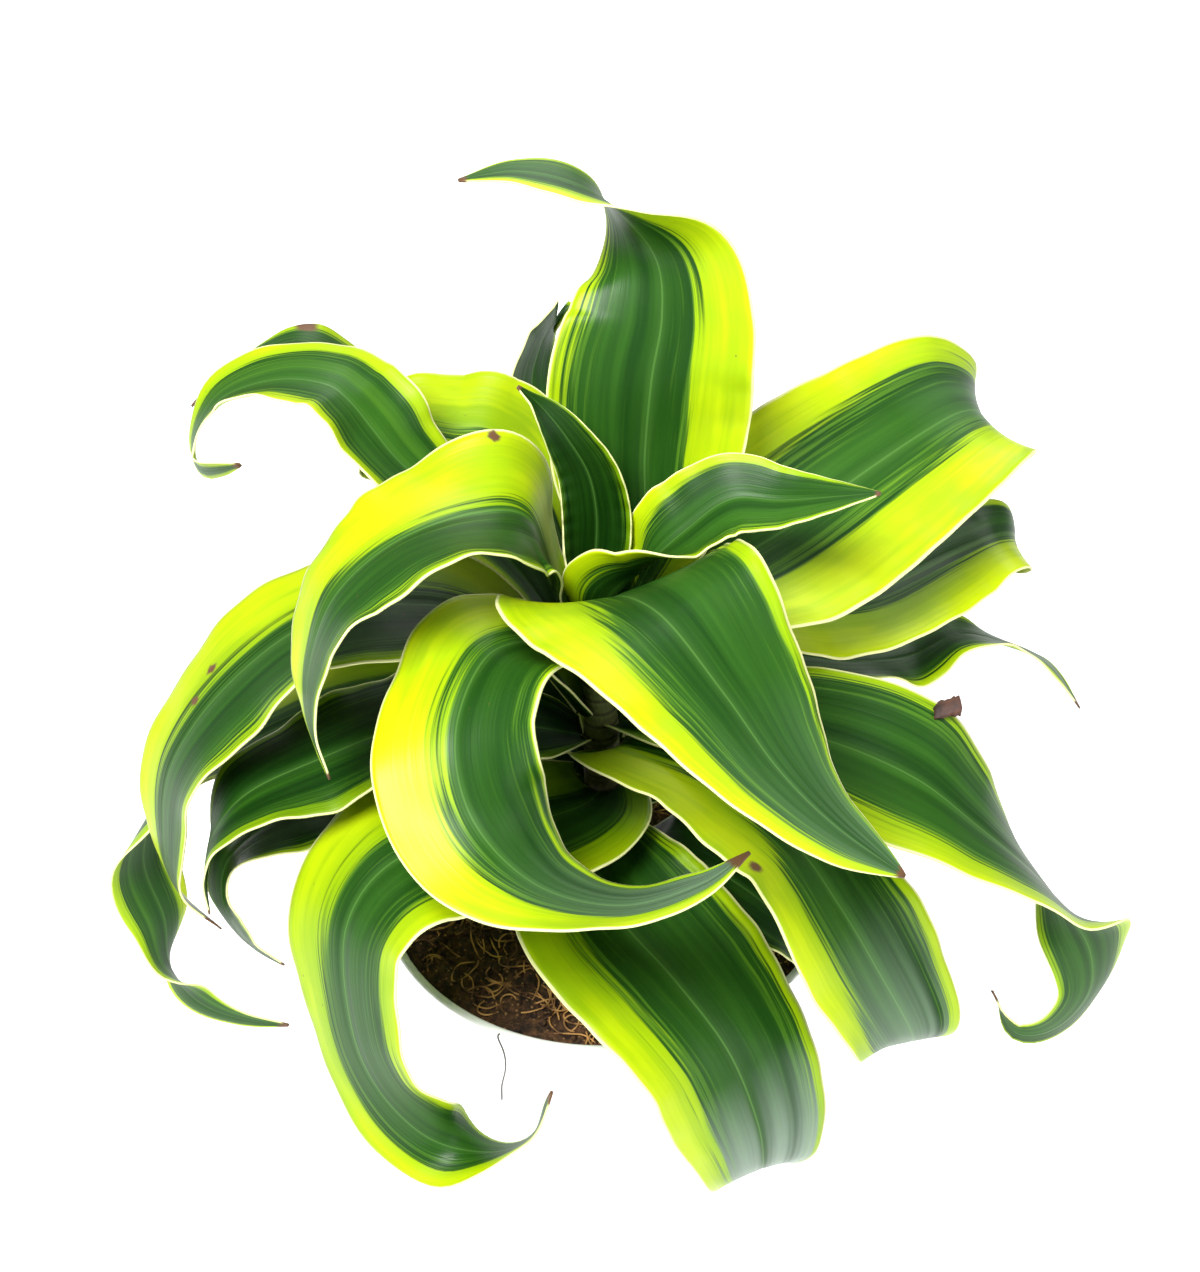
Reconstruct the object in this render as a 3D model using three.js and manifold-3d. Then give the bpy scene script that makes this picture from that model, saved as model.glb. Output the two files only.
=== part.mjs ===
// Potted dracaena with long, arching, twisted leaves, in a plain white nursery pot.
// Millimetres, +Z up, origin at the centre of the pot's foot, -Y towards the viewer.
import * as THREE from "three";
import { mergeVertices } from "three/addons/utils/BufferGeometryUtils.js";
import Module from "manifold-3d";

// Pot, a 17 cm nursery pot
const POT_HEIGHT = 130;
const POT_RIM_RADIUS = 85;
const POT_FOOT_RADIUS = 58;
const POT_WALL = 1.6;
const POT_FLOOR = 2.4;
const LIP_HEIGHT = 2;
const LIP_WIDTH = 1.5;
const LIP_CHAMFER = 0.6;
const FOOT_ROUNDING = 2;
const POT_SEGMENTS = 48;
const DRAIN_HOLES = 6;
const DRAIN_RADIUS = 4;
const DRAIN_CIRCLE_RADIUS = 34;
const DRILL_LENGTH = 8;
const DRILL_SEGMENTS = 12;

// Soil, filled to a finger's width below the rim
const SOIL_TOP = 119;
const SOIL_CROWN = 3;
const FIT_GAP = 0.35;

// Stem, rooted deep in the soil
const STEM_ROOT_Z = 62;
const STEM_TOP_Z = 258;
const STEM_FOOT_RADIUS = 9;
const STEM_TOP_RADIUS = 4.5;
const BUD_HEIGHT = 5;
const BUD_SHOULDER_HEIGHT = 3.5;
const BUD_SHOULDER_RADIUS = 2.7;
const STEM_SEGMENTS = 24;

// Leaf blades
const BLADE_THICKNESS = 0.9;
const STEM_CLEARANCE = 1.1;
const BASE_SHARE = 0.24;
const BASE_FOLD_LIMIT = 80;
const SHOULDER = 0.3;
const TAPER = 3;
const TIP_HALF_WIDTH = 0.6;

// Waves in the margins: how many run along a blade, how they fade towards the midrib, and where they start
const RIPPLES = 4;
const RIPPLE_FADE = 3;
const LEFT_RIPPLE_START = 2.6;
const RIGHT_RIPPLE_START = 0.9;

// Meshing
const LENGTH_STEPS = 20;
const WIDTH_STEPS = 4;
const FLAT_FOLD = 1e-3;
const MERGE_DISTANCE = 1e-4;

// Each leaf clasps the stem at a direction and a height, then follows the stations of its midrib.
// A station is x, y, z, the heading and the tilt of the line to the right-hand margin, and the fold: how far
// the blade is bent about its midrib, positive where the margins turn up. All angles are in degrees.
// Width is the widest part of the blade, share its base's width over that, shoulder the part of the length that
// it widens over, taper how blunt the tip is, and ripple the height of the waves in the margins.
const LEAVES = [
  {
    name: "leaf_heart_left", width: 26, share: 0.6, taper: 2.5, from: [100, 255], ripple: 0.5,
    route: [
      [1, 7, 272, 0, 0, 60], [2, 8, 288, 0, 0, 35], [0, 9, 303, 0, -5, 20],
      [-6, 10, 316, 0, -20, 15], [-13, 12, 326, 5, -35, 10], [-21, 14, 334, 10, -40, 0],
    ],
  },
  {
    name: "leaf_heart_right", width: 42, share: 0.36, shoulder: 0.25, taper: 2.4, from: [-60, 252], ripple: 0.5,
    route: [
      [6, -13, 270, -160, 0, 72], [16, -12, 280, -130, -5, 55], [30, -7, 290, -100, -26, 42],
      [45, -5, 300, -90, -30, 30], [62, -10, 302, -85, -18, 12], [90, -22, 311, -80, 0, 0],
    ],
  },
  {
    name: "leaf_front_broad", width: 78, from: [-80, 244], ripple: 1,
    route: [
      [5, -30, 282, -175, -10, 20], [19, -64, 301, -150, -8, 10], [36, -90, 291, -140, 2, 5],
      [50, -108, 277, -135, 8, 0], [65, -120, 265, -130, 10, -5], [85, -128, 251, -130, 0, 0],
    ],
  },
  {
    name: "leaf_left_curl", width: 70, share: 0.2, shoulder: 0.5, from: [173, 248.5], ripple: 2,
    route: [
      [-13, 2, 264, 92, 5, 28], [-20, 1, 292, 95, 18, 25], [-37, -10, 303, 98, 0, 10],
      [-60, -24, 304, 105, -8, 5], [-79, -36, 294, 110, -5, 0], [-88, -48, 279, 110, -15, 0],
      [-90, -60, 264, 110, -25, 0], [-85, -69, 246, 110, -30, 0],
    ],
  },
  {
    name: "leaf_front_curl", width: 60, shoulder: 0.4, from: [-130, 233], ripple: 1.5,
    route: [
      [-17, -27, 263, 115, 0, 15], [-34, -50, 277, 130, -10, 10], [-44, -74, 267, 160, -12, 5],
      [-40, -92, 248, -175, -2, 0], [-22, -106, 233, -135, 14, 0], [3, -112, 228, -105, 18, 0],
      [27, -110, 233, -85, 15, 0], [43, -102, 238, -85, 15, 0],
    ],
  },
  {
    name: "leaf_back_upright", width: 78, share: 0.2, shoulder: 0.5, taper: 2.5, from: [45, 240], ripple: 1,
    route: [
      [17, 20, 268, -10, 0, 40], [19, 26, 298, 0, -5, 20], [22, 29, 325, -5, 0, 10],
      [26, 34, 345, -10, 5, 5], [25, 40, 362, -25, 10, 0], [15, 44, 376, -60, 10, 0],
      [0, 48, 386, -85, 5, 0], [-18, 50, 390, -95, 0, 0], [-36, 46, 390, -95, 0, 0],
    ],
  },
  {
    name: "leaf_right_broad", width: 84, shoulder: 0.3, taper: 4, from: [5, 228], ripple: 1,
    route: [
      [28, 6, 252, -75, 0, 40], [46, 12, 262, -80, -18, 25], [68, 24, 268, -80, -24, 18],
      [95, 41, 277, -80, -26, 16], [122, 58, 284, -78, -24, 22], [135, 69, 282, -78, -14, 32],
      [143, 80, 272, -78, -5, 35], [141, 89, 253, -75, 0, 20], [134, 90, 236, -70, 0, 0],
    ],
  },
  {
    name: "leaf_left_lime", width: 50, share: 0.2, shoulder: 0.7, taper: 6, from: [117, 226], ripple: 2,
    route: [
      [-8, 30, 250, 50, 10, 30], [-20, 54, 277, 75, 20, 20], [-33, 58, 289, 85, 25, 15],
      [-46, 60, 290, 90, 25, 10], [-60, 62, 292, 90, 20, 5], [-74, 62, 291, 90, 15, 0],
      [-78, 60, 280, 90, 10, 0], [-70, 58, 272, 90, 5, 0],
    ],
  },
  {
    name: "leaf_left_arch", width: 52, share: 0.2, shoulder: 0.8, taper: 4, from: [160, 229], ripple: 2,
    route: [
      [-24, 11, 262, 70, 0, 30], [-46, 20, 284, 65, 0, 25], [-63, 29, 299, 60, 0, 25],
      [-71, 35, 308, 60, 5, 30], [-78, 40, 316, 75, 5, 32], [-86, 45, 320, 90, 0, 24],
      [-103, 51, 319, 95, -5, 22], [-122, 53, 312, 105, -15, 25], [-132, 47, 302, 110, -30, 15],
      [-131, 38, 294, 105, -50, 0], [-116, 32, 298, 70, -70, 0],
    ],
  },
  {
    name: "leaf_left_far", width: 44, shoulder: 0.5, from: [138, 206], ripple: 2,
    route: [
      [-27, 42, 232, 60, -5, 20], [-52, 80, 254, 70, -10, 20], [-78, 97, 288, 85, -10, 15],
      [-97, 96, 307, 90, -10, 10], [-114, 95, 305, 95, -10, 5], [-131, 91, 296, 100, -10, 0],
      [-141, 86, 289, 100, -10, 0],
    ],
  },
  {
    name: "leaf_back_small", width: 42, shoulder: 0.7, from: [85, 219], ripple: 2,
    route: [
      [-4, 42, 238, 10, 0, 20], [-14, 72, 268, 30, -10, 15], [-19, 90, 287, 50, -20, 15],
      [-15, 103, 298, 60, -20, 10], [-9, 111, 304, 70, -20, 5], [-10, 116, 297, 75, 0, 0],
      [-12, 119, 284, 75, 0, 0],
    ],
  },
  {
    name: "leaf_left_outer", width: 72, shoulder: 0.4, from: [-174, 211], ripple: 2,
    route: [
      [-32, 0, 250, 100, 0, 25], [-64, -4, 264, 100, 0, 15], [-96, -8, 260, 105, -5, 5],
      [-125, -16, 241, 115, -5, 0], [-145, -25, 217, 120, -10, 0], [-151, -33, 192, 125, -20, 0],
      [-149, -39, 171, 115, -25, 0], [-136, -43, 155, 115, -30, 0],
    ],
  },
  {
    name: "leaf_right_under", width: 64, shoulder: 0.35, taper: 4, from: [6, 212], ripple: 1.5,
    route: [
      [48, 17, 240, -75, -10, 20], [79, 27, 235, -82, -12, 15], [102, 37, 230, -82, -8, 10],
      [131, 53, 232, -88, -4, 0], [149, 63, 232, -95, 0, -10], [158, 74, 222, -100, 0, -25],
      [152, 83, 202, -100, 0, -15],
    ],
  },
  {
    name: "leaf_right_ribbon", width: 42, shoulder: 0.4, from: [12, 184], ripple: 4,
    route: [
      [32, 13, 208, -75, 0, 20], [61, 22, 213, -75, -5, 10], [92, 31, 201, -80, 10, 5],
      [114, 37, 197, -85, 0, 0], [132, 40, 204, -90, 15, 0], [151, 42, 197, -90, 25, 0],
      [167, 40, 188, -95, 25, 0], [180, 36, 169, -95, 10, 0],
    ],
  },
  {
    name: "leaf_right_twist", width: 76, shoulder: 0.5, taper: 1.6, from: [-15, 206], ripple: 1.5,
    route: [
      [30, -18, 221, -95, 0, 20], [54, -29, 225, -90, -3, 20], [80, -37, 221, -87, -20, 12],
      [104, -47, 213, -88, -25, 10], [123, -54, 198, -86, -15, 5], [140, -58, 182, -80, 0, 0],
      [153, -60, 165, -72, 16, 5], [164, -62, 146, 0, 24, 25], [167, -62, 123, 20, 0, 35],
      [158, -61, 103, 20, -45, 25], [145, -57, 96, -20, -70, 5], [136, -50, 111, -30, -60, 0],
    ],
  },
  {
    name: "leaf_right_drop", width: 60, shoulder: 0.4, taper: 6, from: [-60, 196], ripple: 1.5,
    route: [
      [7, -26, 214, -145, 10, 15], [35, -45, 216, -130, 12, 10], [60, -66, 207, -132, 15, 5],
      [74, -84, 194, -138, 12, 5], [87, -94, 171, -145, 10, 5], [97, -98, 149, -158, 14, 0],
      [99, -90, 134, -160, 10, 0], [94, -78, 130, -155, 5, 0],
    ],
  },
  {
    name: "leaf_left_inner", width: 58, shoulder: 0.4, from: [-172, 200], ripple: 3,
    route: [
      [-31, -12, 216, 95, 5, 20], [-62, -22, 227, 100, 0, 10], [-96, -33, 222, 95, 5, 0],
      [-118, -42, 217, 105, 5, 0], [-130, -49, 206, 95, -10, 0], [-134, -55, 193, 100, -30, 0],
      [-134, -60, 180, 100, -30, 0],
    ],
  },
  {
    name: "leaf_front_left_curl", width: 76, share: 0.4, taper: 2.2, from: [-100, 179], ripple: 2,
    route: [
      [-10, -32, 194, 150, 10, 20], [-37, -52, 204, 125, 5, 10], [-68, -69, 210, 120, 0, 5],
      [-85, -82, 194, 130, -10, 0], [-86, -97, 165, 135, -20, 0], [-79, -106, 142, 150, -20, 0],
      [-64, -112, 123, -175, -10, 0], [-45, -114, 116, -130, 20, 0], [-30, -112, 120, -100, 40, 0],
      [-22, -106, 136, -60, 40, 0],
    ],
  },
  {
    name: "leaf_left_low_twist", width: 44, shoulder: 0.4, from: [172, 190], ripple: 4,
    route: [
      [-44, 8, 214, 100, 10, 20], [-87, 10, 212, 100, 0, 10], [-127, 7, 197, 100, -5, 5],
      [-157, 2, 182, 90, -10, 0], [-169, -6, 156, 60, -10, 0], [-165, -12, 130, 50, -25, 0],
      [-166, -16, 109, 90, -45, 0], [-158, -18, 91, 170, -50, 0], [-144, -18, 80, 180, -60, 0],
      [-126, -16, 72, 180, -60, 0],
    ],
  },
  {
    name: "leaf_left_low", width: 46, shoulder: 0.4, from: [-175, 174], ripple: 3,
    route: [
      [-44, -10, 186, 100, 0, 20], [-78, -16, 190, 100, -5, 10], [-106, -25, 193, 95, 0, 0],
      [-128, -35, 184, 110, -20, 0], [-134, -40, 167, 120, -30, 0], [-129, -42, 149, 125, -40, 0],
      [-117, -42, 134, 125, -50, 0],
    ],
  },
  {
    name: "leaf_front_drop", width: 72, shoulder: 0.35, taper: 4, from: [-95, 164], ripple: 1.5,
    route: [
      [-6, -32, 174, -150, -5, 20], [1, -62, 175, -160, -5, 15], [20, -90, 170, -152, 3, 5],
      [36, -108, 155, -148, 8, 0], [45, -118, 130, -155, 6, -10], [47, -118, 107, -160, 2, 10],
      [45, -104, 92, -160, 0, 25], [42, -90, 94, -160, 0, 10],
    ],
  },
  {
    name: "leaf_right_low", width: 44, from: [-45, 150], ripple: 2,
    route: [
      [26, -30, 168, -120, 0, 15], [48, -48, 166, -120, 0, 10], [66, -58, 150, -120, 0, 5],
      [74, -62, 132, -120, 0, 0],
    ],
  },
  {
    name: "leaf_back_left", width: 66, shoulder: 0.5, from: [138, 184], ripple: 3,
    route: [
      [-24, 30, 200, 50, 0, 20], [-52, 62, 212, 50, 0, 10], [-76, 88, 204, 50, -5, 5],
      [-92, 108, 182, 45, -10, 0], [-96, 118, 152, 45, -15, 0], [-88, 118, 126, 45, -15, 0],
    ],
  },
  {
    name: "leaf_back_drop", width: 74, shoulder: 0.6, from: [82, 190], ripple: 3,
    route: [
      [7, 39, 213, -5, 0, 20], [14, 74, 234, -5, 0, 10], [18, 108, 230, -5, 0, 5],
      [22, 130, 204, -5, 0, 0], [26, 142, 170, -5, 0, 0], [24, 138, 140, -5, 0, 0],
    ],
  },
  {
    name: "leaf_back_right", width: 68, shoulder: 0.5, from: [50, 175], ripple: 3,
    route: [
      [26, 34, 192, -45, 0, 20], [54, 72, 200, -45, 0, 10], [82, 100, 188, -40, 5, 5],
      [100, 118, 162, -35, 10, 0], [106, 124, 130, -35, 15, 0], [100, 118, 106, -35, 15, 0],
    ],
  },
  {
    name: "leaf_back_left_low", width: 56, shoulder: 0.5, from: [120, 167], ripple: 3,
    route: [
      [-18, 34, 184, 30, 0, 20], [-38, 72, 186, 30, 0, 10], [-52, 100, 168, 30, -5, 0],
      [-58, 116, 140, 30, -10, 0], [-54, 118, 118, 30, -10, 0],
    ],
  },
  {
    name: "leaf_back_low", width: 60, shoulder: 0.5, from: [75, 152], ripple: 3,
    route: [
      [12, 36, 170, -15, 0, 20], [22, 76, 172, -20, 0, 10], [30, 106, 156, -20, 5, 0],
      [36, 122, 130, -20, 5, 0], [36, 122, 106, -20, 5, 0],
    ],
  },
  {
    name: "leaf_right_back_low", width: 58, shoulder: 0.5, from: [5, 161], ripple: 3,
    route: [
      [38, 12, 178, -70, 0, 20], [76, 28, 178, -70, 0, 10], [104, 42, 160, -65, 5, 0],
      [116, 50, 134, -60, 10, 0], [112, 50, 114, -60, 10, 0],
    ],
  },
];

const COLOURS = {
  pot: { color: 0xf4f4f2, roughness: 0.45 },
  soil: { color: 0x3a2418, roughness: 0.95 },
  stem: { color: 0x6b6a34, roughness: 0.7 },
  leaf: { color: 0x3f7a2c, roughness: 0.4 },
};

const wasm = await Module();
wasm.setup();

function material(kind) {
  return new THREE.MeshStandardMaterial({ ...COLOURS[kind], metalness: 0 });
}

function stemRadius(z) {
  const rise = THREE.MathUtils.clamp((z - SOIL_TOP) / (STEM_TOP_Z - SOIL_TOP), 0, 1);
  return THREE.MathUtils.lerp(STEM_FOOT_RADIUS, STEM_TOP_RADIUS, rise);
}

function potOuterRadius(z) {
  return THREE.MathUtils.lerp(POT_FOOT_RADIUS, POT_RIM_RADIUS - LIP_WIDTH, z / POT_HEIGHT);
}

// A solid of revolution about Z from [radius, z] pairs that start and end on the axis, going up the outside.
function turned(profile, segments) {
  const points = profile.map(([radius, z]) => new THREE.Vector2(radius, z));
  const geometry = new THREE.LatheGeometry(points, segments);
  geometry.rotateX(Math.PI / 2);
  return geometry;
}

// Booleans need merged corners and no triangle that has closed up on the axis.
function toSolid(geometry) {
  const bare = geometry.clone();
  bare.deleteAttribute("normal");
  bare.deleteAttribute("uv");
  const merged = mergeVertices(bare, MERGE_DISTANCE);
  const corners = [];
  const index = merged.index.array;
  for (let i = 0; i < index.length; i += 3) {
    const [a, b, c] = index.slice(i, i + 3);
    if (a !== b && b !== c && c !== a) corners.push(a, b, c);
  }
  return new wasm.Manifold(new wasm.Mesh({
    numProp: 3,
    vertProperties: new Float32Array(merged.attributes.position.array),
    triVerts: new Uint32Array(corners),
  }));
}

function fromSolid(solid) {
  const mesh = solid.getMesh();
  const geometry = new THREE.BufferGeometry();
  geometry.setAttribute("position", new THREE.BufferAttribute(new Float32Array(mesh.vertProperties), 3));
  geometry.setIndex(new THREE.BufferAttribute(new Uint32Array(mesh.triVerts), 1));
  geometry.computeVertexNormals();
  return geometry;
}

function makePot() {
  const lipFoot = POT_HEIGHT - LIP_HEIGHT;
  const inner = (z) => potOuterRadius(z) - POT_WALL;
  let solid = toSolid(turned([
    [0, 0],
    [POT_FOOT_RADIUS - FOOT_ROUNDING, 0],
    [POT_FOOT_RADIUS, FOOT_ROUNDING],
    [potOuterRadius(lipFoot), lipFoot],
    [POT_RIM_RADIUS, lipFoot + LIP_CHAMFER],
    [POT_RIM_RADIUS, POT_HEIGHT - LIP_CHAMFER],
    [POT_RIM_RADIUS - LIP_CHAMFER, POT_HEIGHT],
    [inner(POT_HEIGHT), POT_HEIGHT],
    [inner(POT_FLOOR), POT_FLOOR],
    [0, POT_FLOOR],
  ], POT_SEGMENTS));
  for (let i = 0; i < DRAIN_HOLES; i++) {
    const angle = (i / DRAIN_HOLES) * 2 * Math.PI;
    const drill = new THREE.CylinderGeometry(DRAIN_RADIUS, DRAIN_RADIUS, DRILL_LENGTH, DRILL_SEGMENTS);
    drill.rotateX(Math.PI / 2);
    drill.translate(DRAIN_CIRCLE_RADIUS * Math.cos(angle), DRAIN_CIRCLE_RADIUS * Math.sin(angle), 0);
    solid = solid.subtract(toSolid(drill));
  }
  return new THREE.Mesh(fromSolid(solid), material("pot"));
}

// The soil fills the pot and leaves a plain blind hole for the buried stem.
function makeSoil() {
  const bottom = POT_FLOOR + FIT_GAP;
  const fill = (z) => potOuterRadius(z) - POT_WALL - FIT_GAP;
  const hole = STEM_FOOT_RADIUS + FIT_GAP;
  return new THREE.Mesh(turned([
    [0, bottom],
    [fill(bottom), bottom],
    [fill(SOIL_TOP), SOIL_TOP],
    [hole, SOIL_TOP + SOIL_CROWN],
    [hole, STEM_ROOT_Z - FIT_GAP],
    [0, STEM_ROOT_Z - FIT_GAP],
  ], POT_SEGMENTS), material("soil"));
}

function makeStem() {
  return new THREE.Mesh(turned([
    [0, STEM_ROOT_Z],
    [STEM_FOOT_RADIUS, STEM_ROOT_Z],
    [STEM_FOOT_RADIUS, SOIL_TOP],
    [STEM_TOP_RADIUS, STEM_TOP_Z],
    [BUD_SHOULDER_RADIUS, STEM_TOP_Z + BUD_SHOULDER_HEIGHT],
    [0, STEM_TOP_Z + BUD_HEIGHT],
  ], STEM_SEGMENTS), material("stem"));
}

// The base of a leaf lies along the stem and wraps round it.
function baseStation(leaf) {
  const [direction, z] = leaf.from;
  const radius = stemRadius(z) + STEM_CLEARANCE;
  const angle = THREE.MathUtils.degToRad(direction);
  const halfWidth = (leaf.width / 2) * (leaf.share ?? BASE_SHARE);
  const fold = Math.min(THREE.MathUtils.radToDeg(halfWidth / radius), BASE_FOLD_LIMIT);
  return [radius * Math.cos(angle), radius * Math.sin(angle), z, direction - 90, 0, fold];
}

function curveThrough(vectors) {
  return new THREE.CatmullRomCurve3(vectors, false, "catmullrom");
}

function directionOf(heading, tilt) {
  const h = THREE.MathUtils.degToRad(heading);
  const t = THREE.MathUtils.degToRad(tilt);
  return new THREE.Vector3(Math.cos(h) * Math.cos(t), Math.sin(h) * Math.cos(t), Math.sin(t));
}

function halfWidthAt(leaf, t) {
  const share = leaf.share ?? BASE_SHARE;
  const rise = share + (1 - share) * Math.sin((Math.PI / 2) * Math.min(t / (leaf.shoulder ?? SHOULDER), 1));
  return (leaf.width / 2) * rise * (1 - t ** (leaf.taper ?? TAPER)) + TIP_HALF_WIDTH * t;
}

// Rows of the blade's middle surface from base to tip, each point with the direction square to the blade.
function bladeRows(leaf) {
  const stations = [baseStation(leaf), ...leaf.route];
  const midrib = curveThrough(stations.map(([x, y, z]) => new THREE.Vector3(x, y, z)));
  const margin = curveThrough(stations.map(([, , , heading, tilt]) => directionOf(heading, tilt)));
  const folding = curveThrough(stations.map(([, , , , , fold]) => new THREE.Vector3(fold, 0, 0)));
  const rows = [];
  for (let i = 0; i <= LENGTH_STEPS; i++) {
    const t = i / LENGTH_STEPS;
    const u = midrib.getUtoTmapping(t);
    const centre = midrib.getPoint(u);
    const along = midrib.getTangent(u);
    const across = margin.getPoint(u).projectOnPlane(along).normalize();
    const up = new THREE.Vector3().crossVectors(across, along);
    const half = halfWidthAt(leaf, t);
    const fold = THREE.MathUtils.degToRad(folding.getPoint(u).x) || FLAT_FOLD;
    const row = [];
    for (let j = 0; j <= WIDTH_STEPS; j++) {
      const s = (2 * j) / WIDTH_STEPS - 1;
      const start = s > 0 ? RIGHT_RIPPLE_START : LEFT_RIPPLE_START;
      const wave = leaf.ripple * Math.abs(s) ** RIPPLE_FADE * Math.sin(2 * Math.PI * RIPPLES * t + start);
      const side = (half * Math.sin(fold * s)) / fold;
      const lift = (half * (1 - Math.cos(fold * s))) / fold + (wave * half) / (leaf.width / 2);
      row.push({
        point: centre.clone().addScaledVector(across, side).addScaledVector(up, lift),
        normal: up.clone().multiplyScalar(Math.cos(fold * s)).addScaledVector(across, -Math.sin(fold * s)),
      });
    }
    rows.push(row);
  }
  return rows;
}

// The blade is its middle surface thickened both ways, with the same triangles on both faces.
function makeLeaf(leaf) {
  const rows = bladeRows(leaf);
  const columns = WIDTH_STEPS + 1;
  const layer = rows.length * columns;
  const positions = [];
  for (const side of [BLADE_THICKNESS / 2, -BLADE_THICKNESS / 2]) {
    for (const { point, normal } of rows.flat()) {
      positions.push(...point.clone().addScaledVector(normal, side).toArray());
    }
  }
  const index = [];
  const quad = (a, b, c, d) => index.push(a, b, c, a, c, d);
  const upper = (i, j) => i * columns + j;
  const under = (i, j) => layer + i * columns + j;
  const last = rows.length - 1;
  for (let i = 0; i < last; i++) {
    for (let j = 0; j < WIDTH_STEPS; j++) {
      quad(upper(i, j), upper(i, j + 1), upper(i + 1, j + 1), upper(i + 1, j));
      index.push(under(i, j), under(i + 1, j + 1), under(i, j + 1));
      index.push(under(i, j), under(i + 1, j), under(i + 1, j + 1));
    }
    quad(upper(i, 0), upper(i + 1, 0), under(i + 1, 0), under(i, 0));
    quad(upper(i + 1, WIDTH_STEPS), upper(i, WIDTH_STEPS), under(i, WIDTH_STEPS), under(i + 1, WIDTH_STEPS));
  }
  for (let j = 0; j < WIDTH_STEPS; j++) {
    quad(upper(0, j), under(0, j), under(0, j + 1), upper(0, j + 1));
    quad(upper(last, j + 1), under(last, j + 1), under(last, j), upper(last, j));
  }
  const geometry = new THREE.BufferGeometry();
  geometry.setAttribute("position", new THREE.Float32BufferAttribute(positions, 3));
  geometry.setIndex(index);
  geometry.computeVertexNormals();
  return new THREE.Mesh(geometry, material("leaf"));
}

function named(mesh, name) {
  mesh.name = name;
  return mesh;
}

const plant = new THREE.Group();
plant.add(named(makePot(), "pot"));
plant.add(named(makeSoil(), "soil"));
plant.add(named(makeStem(), "stem"));
for (const leaf of LEAVES) plant.add(named(makeLeaf(leaf), leaf.name));

export default plant;
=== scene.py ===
"""Blender scene of a potted dracaena whose long leaves arch, curl and twist over a plain white nursery pot.

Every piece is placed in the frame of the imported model: metres, +Z up, the origin under the middle of the pot.
"""
import logging
import math
import random
from dataclasses import dataclass
from enum import Enum
from typing import List, Mapping, Sequence, Tuple

import bpy
import numpy as np
from mathutils import Matrix, Vector, noise


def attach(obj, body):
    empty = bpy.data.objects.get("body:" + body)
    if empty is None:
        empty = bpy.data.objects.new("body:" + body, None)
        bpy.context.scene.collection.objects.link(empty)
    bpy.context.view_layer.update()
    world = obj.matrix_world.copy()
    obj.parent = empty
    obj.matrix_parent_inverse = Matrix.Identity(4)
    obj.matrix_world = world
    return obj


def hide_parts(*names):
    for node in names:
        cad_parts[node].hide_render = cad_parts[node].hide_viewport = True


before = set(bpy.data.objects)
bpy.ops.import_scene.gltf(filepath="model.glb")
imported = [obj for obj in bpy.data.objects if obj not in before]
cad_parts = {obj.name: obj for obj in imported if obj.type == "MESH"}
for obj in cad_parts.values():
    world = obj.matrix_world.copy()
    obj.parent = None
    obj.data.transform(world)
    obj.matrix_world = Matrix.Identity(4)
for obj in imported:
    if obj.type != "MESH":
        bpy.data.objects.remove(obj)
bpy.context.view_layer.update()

LOG = logging.getLogger("dracaena")
MM = 0.001
BODY = "root"

Span = Tuple[float, float]
Triple = Tuple[float, float, float]
Colour = Triple
Station = Tuple[float, float, float, float, float, float]
Profile = List[Span]
Route = Sequence[Triple]
Array = np.ndarray
Piece = bpy.types.Object
Finish = bpy.types.Material
Socket = bpy.types.NodeSocket
Inputs = Mapping[object, object]
NO_INPUTS: Inputs = {}


class Slot(Enum):
    """The record's material slots."""

    POT = "pot"
    SOIL = "soil"
    STEM = "stem"
    LEAF = "leaf"


@dataclass(frozen=True)
class PlantSizes:
    """Sizes that the leaves, the stem, the soil and the pot share, in millimetres."""

    pot_height: float = 130.0
    pot_rim_radius: float = 85.0
    pot_foot_radius: float = 58.0
    pot_wall: float = 1.6
    pot_floor: float = 2.4
    lip_height: float = 2.0
    lip_width: float = 1.5
    foot_rounding: float = 2.0
    soil_top: float = 119.0
    soil_crown: float = 3.0
    fit_gap: float = 0.35
    stem_root: float = 62.0
    stem_top: float = 258.0
    stem_foot_radius: float = 9.0
    stem_top_radius: float = 4.5
    bud_height: float = 5.0
    stem_clearance: float = 1.1

    def stem_radius(self, z: float) -> float:
        """The stem's radius at height z, which narrows from the soil to the crown."""
        radii = [self.stem_foot_radius, self.stem_top_radius]
        return float(np.interp(z, [self.soil_top, self.stem_top], radii))

    def pot_radius(self, z: float) -> float:
        """The radius of the pot's outer wall at height z."""
        radii = [self.pot_foot_radius, self.pot_rim_radius - self.lip_width]
        return float(np.interp(z, [0.0, self.pot_height], radii))


@dataclass(frozen=True)
class LeafSpec:
    """One leaf's outline, route and markings.

    The leaf clasps the stem at base (direction in degrees, height in mm), then follows the stations of
    its midrib: x, y, z in mm, the heading and tilt of the line to its right-hand margin, and the fold of
    its blade, in degrees. lime_left and lime_right are the shares of the whole width that are lime near
    the base, at mid length and near the tip. dry is the share of the length that has dried brown at the
    tip. shade is how lit the leaf's place is: the lower it is, the more painted shade darkens the colour.
    painted_sheen is how strongly a painted sheen, a pale painted reflection, covers the blade near the
    tip. spots are dried places: the share of the length, the share of the width and the radius in mm.
    """

    name: str
    width: float
    base: Span
    route: Tuple[Station, ...]
    share: float = 0.24
    shoulder: float = 0.3
    taper: float = 3.0
    ripple: float = 3.0
    lime_left: Triple = (0.12, 0.12, 0.12)
    lime_right: Triple = (0.12, 0.12, 0.12)
    dry: float = 0.012
    shade: float = 0.5
    painted_sheen: float = 0.0
    spots: Tuple[Triple, ...] = ()


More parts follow.
